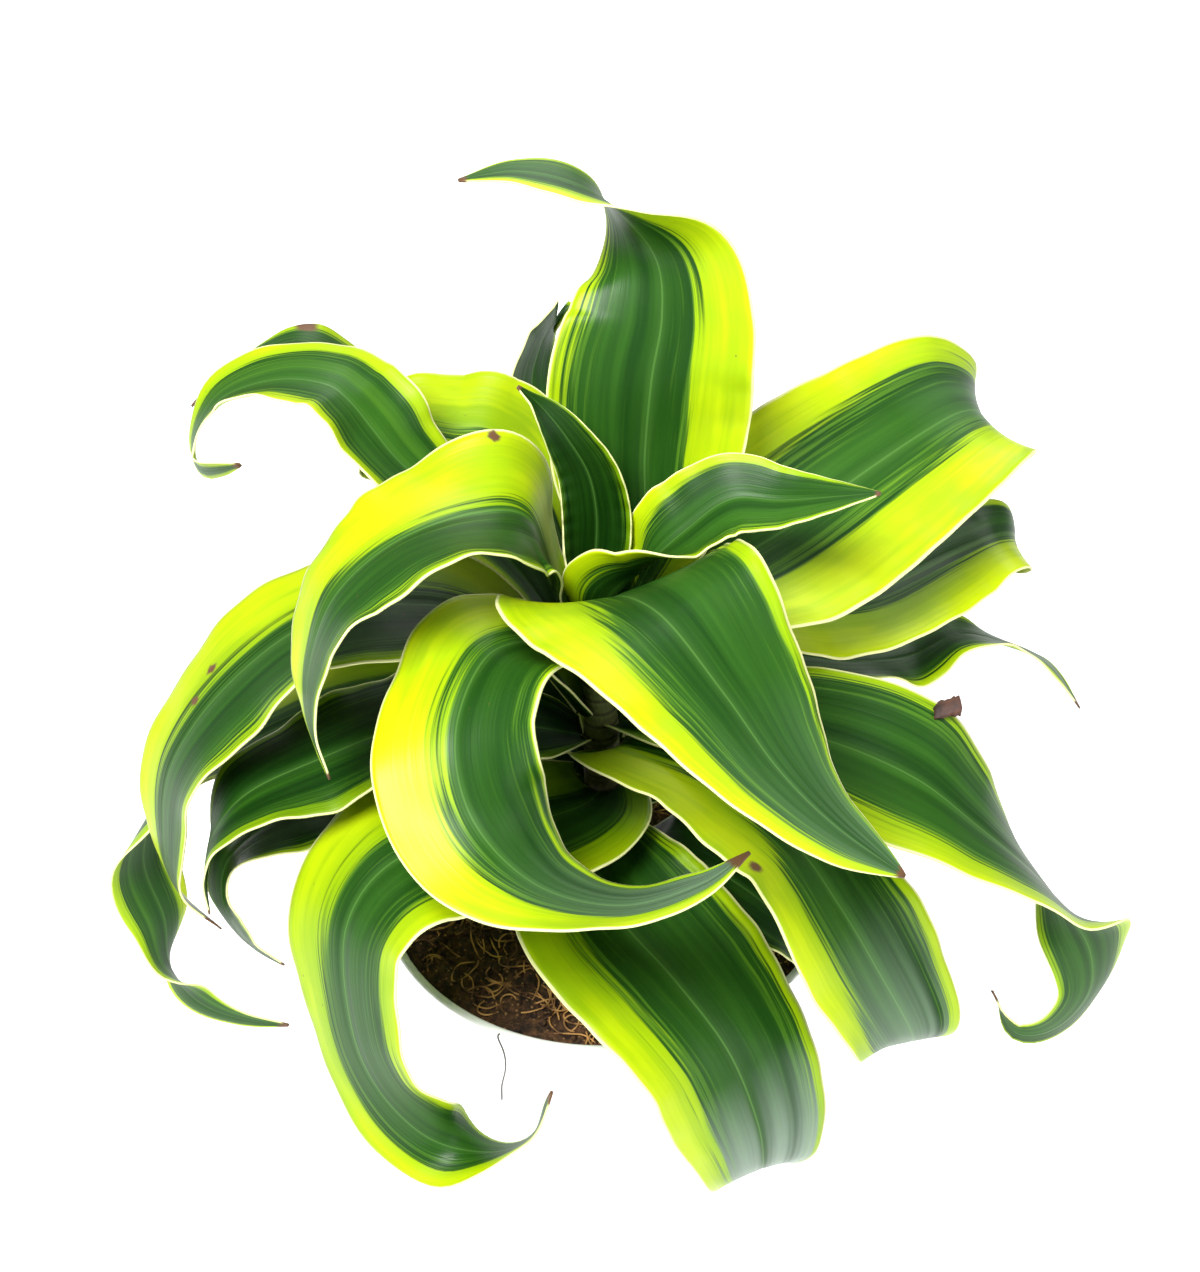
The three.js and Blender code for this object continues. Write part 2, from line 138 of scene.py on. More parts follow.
LEAVES: Tuple[LeafSpec, ...] = (
    LeafSpec("leaf_heart_left", 26, (100, 255), (
        (1, 7, 272, 0, 0, 60), (2, 8, 288, 0, 0, 35), (0, 9, 303, 0, -5, 20), (-6, 10, 316, 0, -20, 15),
        (-13, 12, 326, 5, -35, 10), (-21, 14, 334, 10, -40, 0)),
        share=0.6, taper=2.5, ripple=0.5, lime_left=(0.03, 0.03, 0.04), lime_right=(0.1, 0.1, 0.1),
        shade=0.08),
    LeafSpec("leaf_heart_right", 42, (-60, 252), (
        (6, -13, 270, -160, 0, 72), (16, -12, 280, -130, -5, 55), (30, -7, 290, -100, -26, 42),
        (45, -5, 300, -90, -30, 30), (62, -10, 302, -85, -18, 12), (90, -22, 311, -80, 0, 0)),
        share=0.36, shoulder=0.25, taper=2.4, ripple=0.5, lime_left=(0.3, 0.14, 0.04),
        lime_right=(0.24, 0.07, 0.04), shade=0.45),
    LeafSpec("leaf_front_broad", 78, (-80, 244), (
        (5, -30, 282, -175, -10, 20), (19, -64, 301, -150, -8, 10), (36, -90, 291, -140, 2, 5),
        (50, -108, 277, -135, 8, 0), (65, -120, 265, -130, 10, -5), (85, -128, 251, -130, 0, 0)),
        ripple=1, lime_left=(0.04, 0.05, 0.03), lime_right=(0.44, 0.25, 0.18), shade=0.55, painted_sheen=0.12),
    LeafSpec("leaf_left_curl", 70, (173, 248.5), (
        (-13, 2, 264, 92, 5, 28), (-20, 1, 292, 95, 18, 25), (-37, -10, 303, 98, 0, 10),
        (-60, -24, 304, 105, -8, 5), (-79, -36, 294, 110, -5, 0), (-88, -48, 279, 110, -15, 0),
        (-90, -60, 264, 110, -25, 0), (-85, -69, 246, 110, -30, 0)),
        share=0.2, shoulder=0.5, ripple=2, lime_left=(0.05, 0.05, 0.06), lime_right=(0.4, 0.46, 0.3),
        shade=0.42, spots=((0.3, 0.97, 3.5),)),
    LeafSpec("leaf_front_curl", 60, (-130, 233), (
        (-17, -27, 263, 115, 0, 15), (-34, -50, 277, 130, -10, 10), (-44, -74, 267, 160, -12, 5),
        (-40, -92, 248, -175, -2, 0), (-22, -106, 233, -135, 14, 0), (3, -112, 228, -105, 18, 0),
        (27, -110, 233, -85, 15, 0), (43, -102, 238, -85, 15, 0)),
        shoulder=0.4, ripple=1.5, lime_left=(0.05, 0.05, 0.08), lime_right=(0.35, 0.42, 0.22), dry=0.03,
        painted_sheen=0.3),
    LeafSpec("leaf_back_upright", 78, (45, 240), (
        (17, 20, 268, -10, 0, 40), (19, 26, 298, 0, -5, 20), (22, 29, 325, -5, 0, 10),
        (26, 34, 345, -10, 5, 5), (25, 40, 362, -25, 10, 0), (15, 44, 376, -60, 10, 0),
        (0, 48, 386, -85, 5, 0), (-18, 50, 390, -95, 0, 0), (-36, 46, 390, -95, 0, 0)),
        share=0.2, shoulder=0.5, ripple=1, taper=2.5, lime_left=(0.1, 0.08, 0.1),
        lime_right=(0.26, 0.32, 0.2)),
    LeafSpec("leaf_right_broad", 84, (5, 228), (
        (28, 6, 252, -75, 0, 40), (46, 12, 262, -80, -18, 25), (68, 24, 268, -80, -24, 18),
        (95, 41, 277, -80, -26, 16), (122, 58, 284, -78, -24, 22), (135, 69, 282, -78, -14, 32),
        (143, 80, 272, -78, -5, 35), (141, 89, 253, -75, 0, 20), (134, 90, 236, -70, 0, 0)),
        ripple=1, taper=4, lime_left=(0.2, 0.22, 0.12), lime_right=(0.36, 0.34, 0.36), painted_sheen=0.2),
    LeafSpec("leaf_left_lime", 50, (117, 226), (
        (-8, 30, 250, 50, 10, 30), (-20, 54, 277, 75, 20, 20), (-33, 58, 289, 85, 25, 15),
        (-46, 60, 290, 90, 25, 10), (-60, 62, 292, 90, 20, 5), (-74, 62, 291, 90, 15, 0),
        (-78, 60, 280, 90, 10, 0), (-70, 58, 272, 90, 5, 0)),
        share=0.2, shoulder=0.7, ripple=2, taper=6, lime_left=(0.4, 0.42, 0.4),
        lime_right=(0.5, 0.5, 0.5), shade=0.3),
    LeafSpec("leaf_left_arch", 52, (160, 229), (
        (-24, 11, 262, 70, 0, 30), (-46, 20, 284, 65, 0, 25), (-63, 29, 299, 60, 0, 25),
        (-71, 35, 308, 60, 5, 30), (-78, 40, 316, 75, 5, 32), (-86, 45, 320, 90, 0, 24),
        (-103, 51, 319, 95, -5, 22), (-122, 53, 312, 105, -15, 25), (-132, 47, 302, 110, -30, 15),
        (-131, 38, 294, 105, -50, 0), (-116, 32, 298, 70, -70, 0)),
        share=0.2, shoulder=0.8, taper=4, ripple=2, lime_left=(0.2, 0.12, 0.3),
        lime_right=(0.12, 0.1, 0.2), shade=0.45),
    LeafSpec("leaf_left_far", 44, (138, 206), (
        (-27, 42, 232, 60, -5, 20), (-52, 80, 254, 70, -10, 20), (-78, 97, 288, 85, -10, 15),
        (-97, 96, 307, 90, -10, 10), (-114, 95, 305, 95, -10, 5), (-131, 91, 296, 100, -10, 0),
        (-141, 86, 289, 100, -10, 0)),
        shoulder=0.5, ripple=2, lime_left=(0.1, 0.1, 0.1), lime_right=(0.1, 0.1, 0.1), dry=0.03,
        shade=0.4, spots=((0.78, 0.97, 7.0),)),
    LeafSpec("leaf_back_small", 42, (85, 219), (
        (-4, 42, 238, 10, 0, 20), (-14, 72, 268, 30, -10, 15), (-19, 90, 287, 50, -20, 15),
        (-15, 103, 298, 60, -20, 10), (-9, 111, 304, 70, -20, 5), (-10, 116, 297, 75, 0, 0),
        (-12, 119, 284, 75, 0, 0)),
        shoulder=0.7, ripple=2, lime_left=(0.06, 0.06, 0.06), lime_right=(0.1, 0.12, 0.12), shade=0.3),
    LeafSpec("leaf_left_outer", 72, (-174, 211), (
        (-32, 0, 250, 100, 0, 25), (-64, -4, 264, 100, 0, 15), (-96, -8, 260, 105, -5, 5),
        (-125, -16, 241, 115, -5, 0), (-145, -25, 217, 120, -10, 0), (-151, -33, 192, 125, -20, 0),
        (-149, -39, 171, 115, -25, 0), (-136, -43, 155, 115, -30, 0)),
        shoulder=0.4, ripple=2, lime_left=(0.06, 0.06, 0.08), lime_right=(0.36, 0.38, 0.3), dry=0.03,
        shade=0.36, spots=((0.6, 0.72, 4.0), (0.64, 0.66, 3.5), (0.92, 0.5, 5.0))),
    LeafSpec("leaf_right_under", 64, (6, 212), (
        (48, 17, 240, -75, -10, 20), (79, 27, 235, -82, -12, 15), (102, 37, 230, -82, -8, 10),
        (131, 53, 232, -88, -4, 0), (149, 63, 232, -95, 0, -10), (158, 74, 222, -100, 0, -25),
        (152, 83, 202, -100, 0, -15)),
        shoulder=0.35, ripple=1.5, taper=4, lime_left=(0.1, 0.1, 0.12), lime_right=(0.28, 0.34, 0.42),
        dry=0.02, shade=0.45, spots=((0.84, 0.7, 5.0),)),
    LeafSpec("leaf_right_ribbon", 42, (12, 184), (
        (32, 13, 208, -75, 0, 20), (61, 22, 213, -75, -5, 10), (92, 31, 201, -80, 10, 5),
        (114, 37, 197, -85, 0, 0), (132, 40, 204, -90, 15, 0), (151, 42, 197, -90, 25, 0),
        (167, 40, 188, -95, 25, 0), (180, 36, 169, -95, 10, 0)),
        shoulder=0.4, ripple=4, lime_left=(0.1, 0.1, 0.1), lime_right=(0.12, 0.12, 0.12), dry=0.02),
    LeafSpec("leaf_right_twist", 76, (-15, 206), (
        (30, -18, 221, -95, 0, 20), (54, -29, 225, -90, -3, 20), (80, -37, 221, -87, -20, 12),
        (104, -47, 213, -88, -25, 10), (123, -54, 198, -86, -15, 5), (140, -58, 182, -80, 0, 0),
        (153, -60, 165, -72, 16, 5), (164, -62, 146, 0, 24, 25), (167, -62, 123, 20, 0, 35),
        (158, -61, 103, 20, -45, 25), (145, -57, 96, -20, -70, 5), (136, -50, 111, -30, -60, 0)),
        shoulder=0.5, ripple=1.5, taper=1.6, lime_left=(0.06, 0.06, 0.1), lime_right=(0.16, 0.18, 0.1),
        shade=0.38),
    LeafSpec("leaf_right_drop", 60, (-60, 196), (
        (7, -26, 214, -145, 10, 15), (35, -45, 216, -130, 12, 10), (60, -66, 207, -132, 15, 5),
        (74, -84, 194, -138, 12, 5), (87, -94, 171, -145, 10, 5), (97, -98, 149, -158, 14, 0),
        (99, -90, 134, -160, 10, 0), (94, -78, 130, -155, 5, 0)),
        shoulder=0.4, ripple=1.5, taper=6, lime_left=(0.1, 0.1, 0.12), lime_right=(0.6, 0.3, 0.18),
        dry=0.02, shade=0.36, painted_sheen=0.32, spots=((0.47, 0.9, 5.0),)),
    LeafSpec("leaf_left_inner", 58, (-172, 200), (
        (-31, -12, 216, 95, 5, 20), (-62, -22, 227, 100, 0, 10), (-96, -33, 222, 95, 5, 0),
        (-118, -42, 217, 105, 5, 0), (-130, -49, 206, 95, -10, 0), (-134, -55, 193, 100, -30, 0),
        (-134, -60, 180, 100, -30, 0)),
        shoulder=0.4, lime_left=(0.12, 0.1, 0.1), lime_right=(0.06, 0.06, 0.08), shade=0.16),
    LeafSpec("leaf_front_left_curl", 76, (-100, 179), (
        (-10, -32, 194, 150, 10, 20), (-37, -52, 204, 125, 5, 10), (-68, -69, 210, 120, 0, 5),
        (-85, -82, 194, 130, -10, 0), (-86, -97, 165, 135, -20, 0), (-79, -106, 142, 150, -20, 0),
        (-64, -112, 123, -175, -10, 0), (-45, -114, 116, -130, 20, 0), (-30, -112, 120, -100, 40, 0),
        (-22, -106, 136, -60, 40, 0)),
        share=0.4, ripple=2, taper=2.2, lime_left=(0.2, 0.16, 0.08), lime_right=(0.36, 0.32, 0.2),
        shade=0.34),
    LeafSpec("leaf_left_low_twist", 44, (172, 190), (
        (-44, 8, 214, 100, 10, 20), (-87, 10, 212, 100, 0, 10), (-127, 7, 197, 100, -5, 5),
        (-157, 2, 182, 90, -10, 0), (-169, -6, 156, 60, -10, 0), (-165, -12, 130, 50, -25, 0),
        (-166, -16, 109, 90, -45, 0), (-158, -18, 91, 170, -50, 0), (-144, -18, 80, 180, -60, 0),
        (-126, -16, 72, 180, -60, 0)),
        shoulder=0.4, ripple=4, lime_left=(0.1, 0.1, 0.1), lime_right=(0.3, 0.3, 0.15), shade=0.4),
    LeafSpec("leaf_left_low", 46, (-175, 174), (
        (-44, -10, 186, 100, 0, 20), (-78, -16, 190, 100, -5, 10), (-106, -25, 193, 95, 0, 0),
        (-128, -35, 184, 110, -20, 0), (-134, -40, 167, 120, -30, 0), (-129, -42, 149, 125, -40, 0),
        (-117, -42, 134, 125, -50, 0)),
        shoulder=0.4, lime_left=(0.08, 0.08, 0.06), lime_right=(0.08, 0.08, 0.06), shade=0.25),
    LeafSpec("leaf_front_drop", 72, (-95, 164), (
        (-6, -32, 174, -150, -5, 20), (1, -62, 175, -160, -5, 15), (20, -90, 170, -152, 3, 5),
        (36, -108, 155, -148, 8, 0), (45, -118, 130, -155, 6, -10), (47, -118, 107, -160, 2, 10),
        (45, -104, 92, -160, 0, 25), (42, -90, 94, -160, 0, 10)),
        shoulder=0.35, ripple=1.5, taper=4, lime_left=(0.08, 0.08, 0.08), lime_right=(0.3, 0.24, 0.18),
        shade=0.32, painted_sheen=0.85),
    LeafSpec("leaf_right_low", 44, (-45, 150), (
        (26, -30, 168, -120, 0, 15), (48, -48, 166, -120, 0, 10), (66, -58, 150, -120, 0, 5),
        (74, -62, 132, -120, 0, 0)),
        ripple=2, lime_left=(0.06, 0.06, 0.06), lime_right=(0.06, 0.06, 0.06), shade=0.2),
    LeafSpec("leaf_back_left", 66, (138, 184), (
        (-24, 30, 200, 50, 0, 20), (-52, 62, 212, 50, 0, 10), (-76, 88, 204, 50, -5, 5),
        (-92, 108, 182, 45, -10, 0), (-96, 118, 152, 45, -15, 0), (-88, 118, 126, 45, -15, 0)),
        shoulder=0.5, lime_left=(0.2, 0.15, 0.15), lime_right=(0.3, 0.3, 0.25)),
    LeafSpec("leaf_back_drop", 74, (82, 190), (
        (7, 39, 213, -5, 0, 20), (14, 74, 234, -5, 0, 10), (18, 108, 230, -5, 0, 5),
        (22, 130, 204, -5, 0, 0), (26, 142, 170, -5, 0, 0), (24, 138, 140, -5, 0, 0)),
        shoulder=0.6, lime_left=(0.3, 0.3, 0.25), lime_right=(0.12, 0.12, 0.1)),
    LeafSpec("leaf_back_right", 68, (50, 175), (
        (26, 34, 192, -45, 0, 20), (54, 72, 200, -45, 0, 10), (82, 100, 188, -40, 5, 5),
        (100, 118, 162, -35, 10, 0), (106, 124, 130, -35, 15, 0), (100, 118, 106, -35, 15, 0)),
        shoulder=0.5, lime_left=(0.12, 0.12, 0.1), lime_right=(0.34, 0.34, 0.3)),
    LeafSpec("leaf_back_left_low", 56, (120, 167), (
        (-18, 34, 184, 30, 0, 20), (-38, 72, 186, 30, 0, 10), (-52, 100, 168, 30, -5, 0),
        (-58, 116, 140, 30, -10, 0), (-54, 118, 118, 30, -10, 0)),
        shoulder=0.5, lime_left=(0.12, 0.12, 0.1), lime_right=(0.24, 0.24, 0.2), shade=0.4),
    LeafSpec("leaf_back_low", 60, (75, 152), (
        (12, 36, 170, -15, 0, 20), (22, 76, 172, -20, 0, 10), (30, 106, 156, -20, 5, 0),
        (36, 122, 130, -20, 5, 0), (36, 122, 106, -20, 5, 0)),
        shoulder=0.5, lime_left=(0.26, 0.26, 0.2), lime_right=(0.12, 0.12, 0.1), shade=0.4),
    LeafSpec("leaf_right_back_low", 58, (5, 161), (
        (38, 12, 178, -70, 0, 20), (76, 28, 178, -70, 0, 10), (104, 42, 160, -65, 5, 0),
        (116, 50, 134, -60, 10, 0), (112, 50, 114, -60, 10, 0)),
        shoulder=0.5, lime_left=(0.12, 0.12, 0.1), lime_right=(0.2, 0.2, 0.2), shade=0.35),
)


class SmoothCurve:
    """A Catmull-Rom curve through control points, measured by its own length."""

    SAMPLES = 400

    def __init__(self, points: Sequence[Sequence[float]]) -> None:
        """Keeps the control points and measures the curve.

        Args:
            points: The control points, all of one dimension.
        """
        inner = np.array(points, dtype=float)
        before = 2.0 * inner[0] - inner[1]
        after = 2.0 * inner[-1] - inner[-2]
        self.points = np.vstack([before, inner, after])
        self.spans = len(inner) - 1
        u = np.linspace(0.0, 1.0, self.SAMPLES + 1)
        steps = np.linalg.norm(np.diff(self.at(u), axis=0), axis=1)
        lengths = np.concatenate([[0.0], np.cumsum(steps)])
        self.length = float(lengths[-1])
        self._u = u
        self._share = lengths / lengths[-1]

    def _local(self, u: Array) -> Tuple[Array, Tuple[Array, ...]]:
        """Finds each value's place within its span, and the four points that shape that span."""
        place = np.clip(np.asarray(u, dtype=float), 0.0, 1.0) * self.spans
        span = np.minimum(place.astype(int), self.spans - 1)
        local = (place - span)[:, None]
        return local, tuple(self.points[span + i] for i in range(4))

    def at(self, u: Array) -> Array:
        """Returns the points of the curve at the parameters u, from 0 to 1."""
        w, (a, b, c, d) = self._local(u)
        bend = (2 * a - 5 * b + 4 * c - d) * w**2
        twist = (3 * b - a - 3 * c + d) * w**3
        return 0.5 * (2 * b + (c - a) * w + bend + twist)

    def tangent(self, u: Array) -> Array:
        """Returns unit tangents of the curve at the parameters u, from 0 to 1."""
        w, (a, b, c, d) = self._local(u)
        slope = (c - a) + 2 * (2 * a - 5 * b + 4 * c - d) * w + 3 * (3 * b - a - 3 * c + d) * w**2
        return unit(slope)

    def by_length(self, t: Array) -> Array:
        """Turns shares of the length t, from 0 to 1, into curve parameters."""
        return np.interp(t, self._share, self._u)


def unit(vectors: Array) -> Array:
    """Returns the vectors scaled to length one."""
    return vectors / np.maximum(np.linalg.norm(vectors, axis=-1, keepdims=True), 1e-9)


def direction_of(heading: float, tilt: float) -> Triple:
    """Returns the unit vector at a heading about Z and a tilt above the level, both in degrees."""
    h = math.radians(heading)
    t = math.radians(tilt)
    return math.cos(h) * math.cos(t), math.sin(h) * math.cos(t), math.sin(t)


@dataclass
class LeafSurface:
    """The curved middle surface of one leaf, worked out from its route and outline."""

    spec: LeafSpec
    sizes: PlantSizes
    base_fold_limit: float = 80.0
    least_fold: float = 1e-3
    tip_half_width: float = 0.6
    ripples: float = 4.0
    midrib_groove: float = 0.7
    groove_width: float = 0.07
    groove_end: float = 1.4
    flutter: float = 0.35
    flutter_pitch: float = 3.3
    flutter_phase: float = 2.1
    phases: Span = (0.9, 2.6)

    def __post_init__(self) -> None:
        """Lays the midrib, the line across the blade and the fold through the stations."""
        stations = [self._base_station(), *self.spec.route]
        self.midrib = SmoothCurve([s[:3] for s in stations])
        self.margin = SmoothCurve([direction_of(s[3], s[4]) for s in stations])
        self.folding = SmoothCurve([(s[5],) for s in stations])

    def _base_station(self) -> Station:
        """Returns the station at the stem, where the blade wraps round it."""
        direction, z = self.spec.base
        radius = self.sizes.stem_radius(z) + self.sizes.stem_clearance
        angle = math.radians(direction)
        half = self.spec.width / 2 * self.spec.share
        fold = min(math.degrees(half / radius), self.base_fold_limit)
        return (radius * math.cos(angle), radius * math.sin(angle), z, direction - 90, 0.0, fold)

    def half_width(self, t: Array) -> Array:
        """Returns the half width in mm at shares t of the length."""
        spec = self.spec
        rise = spec.share + (1 - spec.share) * np.sin(np.pi / 2 * np.minimum(t / spec.shoulder, 1.0))
        return spec.width / 2 * rise * (1 - t**spec.taper) + self.tip_half_width * t

    def points(self, t: Array, s: Array) -> Array:
        """Returns points of the blade in mm.

        Args:
            t: Shares of the length, 0 at the base and 1 at the tip.
            s: Places across, -1 at the left-hand margin and 1 at the right-hand one, one for each t.

        Returns:
            An array of as many x, y, z rows.
        """
        u = self.midrib.by_length(t)
        centre = self.midrib.at(u)
        along = self.midrib.tangent(u)
        margin = self.margin.at(u)
        across = unit(margin - along * np.sum(margin * along, axis=1, keepdims=True))
        up = np.cross(across, along)
        half = self.half_width(t)
        fold = np.radians(self.folding.at(u)[:, 0])
        fold = np.where(np.abs(fold) < self.least_fold, self.least_fold, fold)
        side = half * np.sin(fold * s) / fold
        lift = half * (1 - np.cos(fold * s)) / fold + self._waves(t, s, half)
        return centre + across * side[:, None] + up * lift[:, None]

    def _waves(self, t: Array, s: Array, half: Array) -> Array:
        """Returns how far the waves of the margins and the groove of the midrib lift each point, in mm."""
        share = half / (self.spec.width / 2)
        phase = np.where(s > 0, *self.phases)
        edge = np.abs(s) ** 3
        long_wave = self.spec.ripple * np.sin(2 * np.pi * self.ripples * t + phase)
        turn = 2 * np.pi * self.ripples * self.flutter_pitch * t
        short_wave = self.flutter * np.sin(turn + self.flutter_phase * phase + self.spec.width)
        fade = np.minimum(1.0, self.groove_end - t)
        groove = -self.midrib_groove * np.exp(-((s / self.groove_width) ** 2)) * fade
        return (edge * (long_wave + short_wave) + groove) * share


class NodeSketch:
    """Adds shader nodes to one material and joins them, so that a finish reads as a short recipe."""

    def __init__(self, name: str) -> None:
        """Makes an empty material.

        Args:
            name: The material's name.
        """
        self.material = bpy.data.materials.new(name)
        self.material.use_nodes = True
        self.tree = self.material.node_tree
        self.tree.nodes.clear()
        self.output = self.tree.nodes.new("ShaderNodeOutputMaterial")

    def node(self, kind: str, inputs: Inputs = NO_INPUTS, **settings: object) -> bpy.types.Node:
        """Adds a node of a kind, sets its plain properties and feeds its inputs, named or numbered."""
        made = self.tree.nodes.new(kind)
        for key, value in settings.items():
            setattr(made, key, value)
        for key, value in inputs.items():
            self.feed(made.inputs[key], value)
        return made

    def feed(self, socket: Socket, value: object) -> None:
        """Links or sets an input socket.

        Args:
            socket: The input socket.
            value: An output socket to link, or a plain number, colour or vector.
        """
        if isinstance(value, Socket):
            self.tree.links.new(value, socket)
        elif isinstance(value, tuple) and len(value) == 3 and socket.type == "RGBA":
            socket.default_value = (*value, 1.0)
        else:
            socket.default_value = value

    def math(self, operation: str, a: object, b: object = 0.0) -> Socket:
        """Adds a Math node and returns its result."""
        return self.node("ShaderNodeMath", {0: a, 1: b}, operation=operation).outputs[0]

    def plus(self, a: object, b: object) -> Socket:
        """Adds two numbers."""
        return self.math("ADD", a, b)

    def minus(self, a: object, b: object) -> Socket:
        """Takes the second number from the first."""
        return self.math("SUBTRACT", a, b)

    def times(self, a: object, b: object) -> Socket:
        """Multiplies two numbers."""
        return self.math("MULTIPLY", a, b)

    def swing(self, noise_value: object, depth: float) -> Socket:
        """Centres a noise on zero and scales it."""
        return self.times(self.minus(noise_value, 0.5), depth)

    def ramp(self, value: object, low: float, high: float) -> Socket:
        """Maps a value from low..high to an eased 0..1, and keeps it there."""
        inputs = {"Value": value, "From Min": low, "From Max": high}
        return self.node("ShaderNodeMapRange", inputs, interpolation_type="SMOOTHSTEP").outputs["Result"]

    def mix(self, factor: object, a: object, b: object, blend: str = "MIX") -> Socket:
        """Mixes two colours and returns the result."""
        inputs = {"Factor": factor, 6: a, 7: b}
        return self.node("ShaderNodeMix", inputs, data_type="RGBA", blend_type=blend).outputs[2]

    def attribute(self, name: str) -> Socket:
        """Reads a number that the mesh carries under a name."""
        return self.node("ShaderNodeAttribute", attribute_name=name).outputs["Fac"]

    def place(self) -> Socket:
        """Returns the object coordinates."""
        return self.node("ShaderNodeTexCoord").outputs["Object"]

    def parts(self, vector: object) -> Tuple[Socket, Socket, Socket]:
        """Splits a vector into its three numbers."""
        return tuple(self.node("ShaderNodeSeparateXYZ", {0: vector}).outputs)

    def leaf_place(self) -> Tuple[Socket, Socket]:
        """Returns the place across the blade and along it, each 0 to 1, from the blade's own UV map."""
        across, along, _ = self.parts(self.node("ShaderNodeUVMap").outputs["UV"])
        return across, along

    def vector(self, x: object, y: object, z: object) -> Socket:
        """Joins three numbers into a vector."""
        return self.node("ShaderNodeCombineXYZ", {0: x, 1: y, 2: z}).outputs[0]

    def noise(self, place: object, scale: float, detail: float, roughness: float = 0.5) -> Socket:
        """Returns a noise value of about 0.2 to 0.8 at a place."""
        inputs = {"Vector": place, "Scale": scale, "Detail": detail, "Roughness": roughness}
        return self.node("ShaderNodeTexNoise", inputs).outputs["Fac"]

    def streaks(self, u: object, v: object, seed: object, across: float, along: float) -> Socket:
        """Returns a noise drawn out along the blade, with so many swings across it and along it."""
        place = self.vector(self.times(u, across), self.times(v, along), seed)
        return self.noise(place, scale=1.0, detail=3.0, roughness=0.55)

    def cells(self, place: object, scale: float) -> Socket:
        """Returns the distance to the nearest of many scattered points."""
        return self.node("ShaderNodeTexVoronoi", {"Vector": place, "Scale": scale}).outputs["Distance"]

    def bump(self, height: object, strength: float, distance: float) -> Socket:
        """Turns a height into a bumped normal, its distance in metres."""
        inputs = {"Height": height, "Strength": strength, "Distance": distance}
        return self.node("ShaderNodeBump", inputs).outputs["Normal"]

    def principled(self, **values: object) -> Socket:
        """Adds the main shader and feeds its sockets, named with underscores for spaces."""
        inputs = {key.replace("_", " "): value for key, value in values.items()}
        return self.node("ShaderNodeBsdfPrincipled", inputs).outputs["BSDF"]

    def finish(self, shader: Socket) -> Finish:
        """Joins the shader to the output and returns the material."""
        self.feed(self.output.inputs["Surface"], shader)
        return self.material


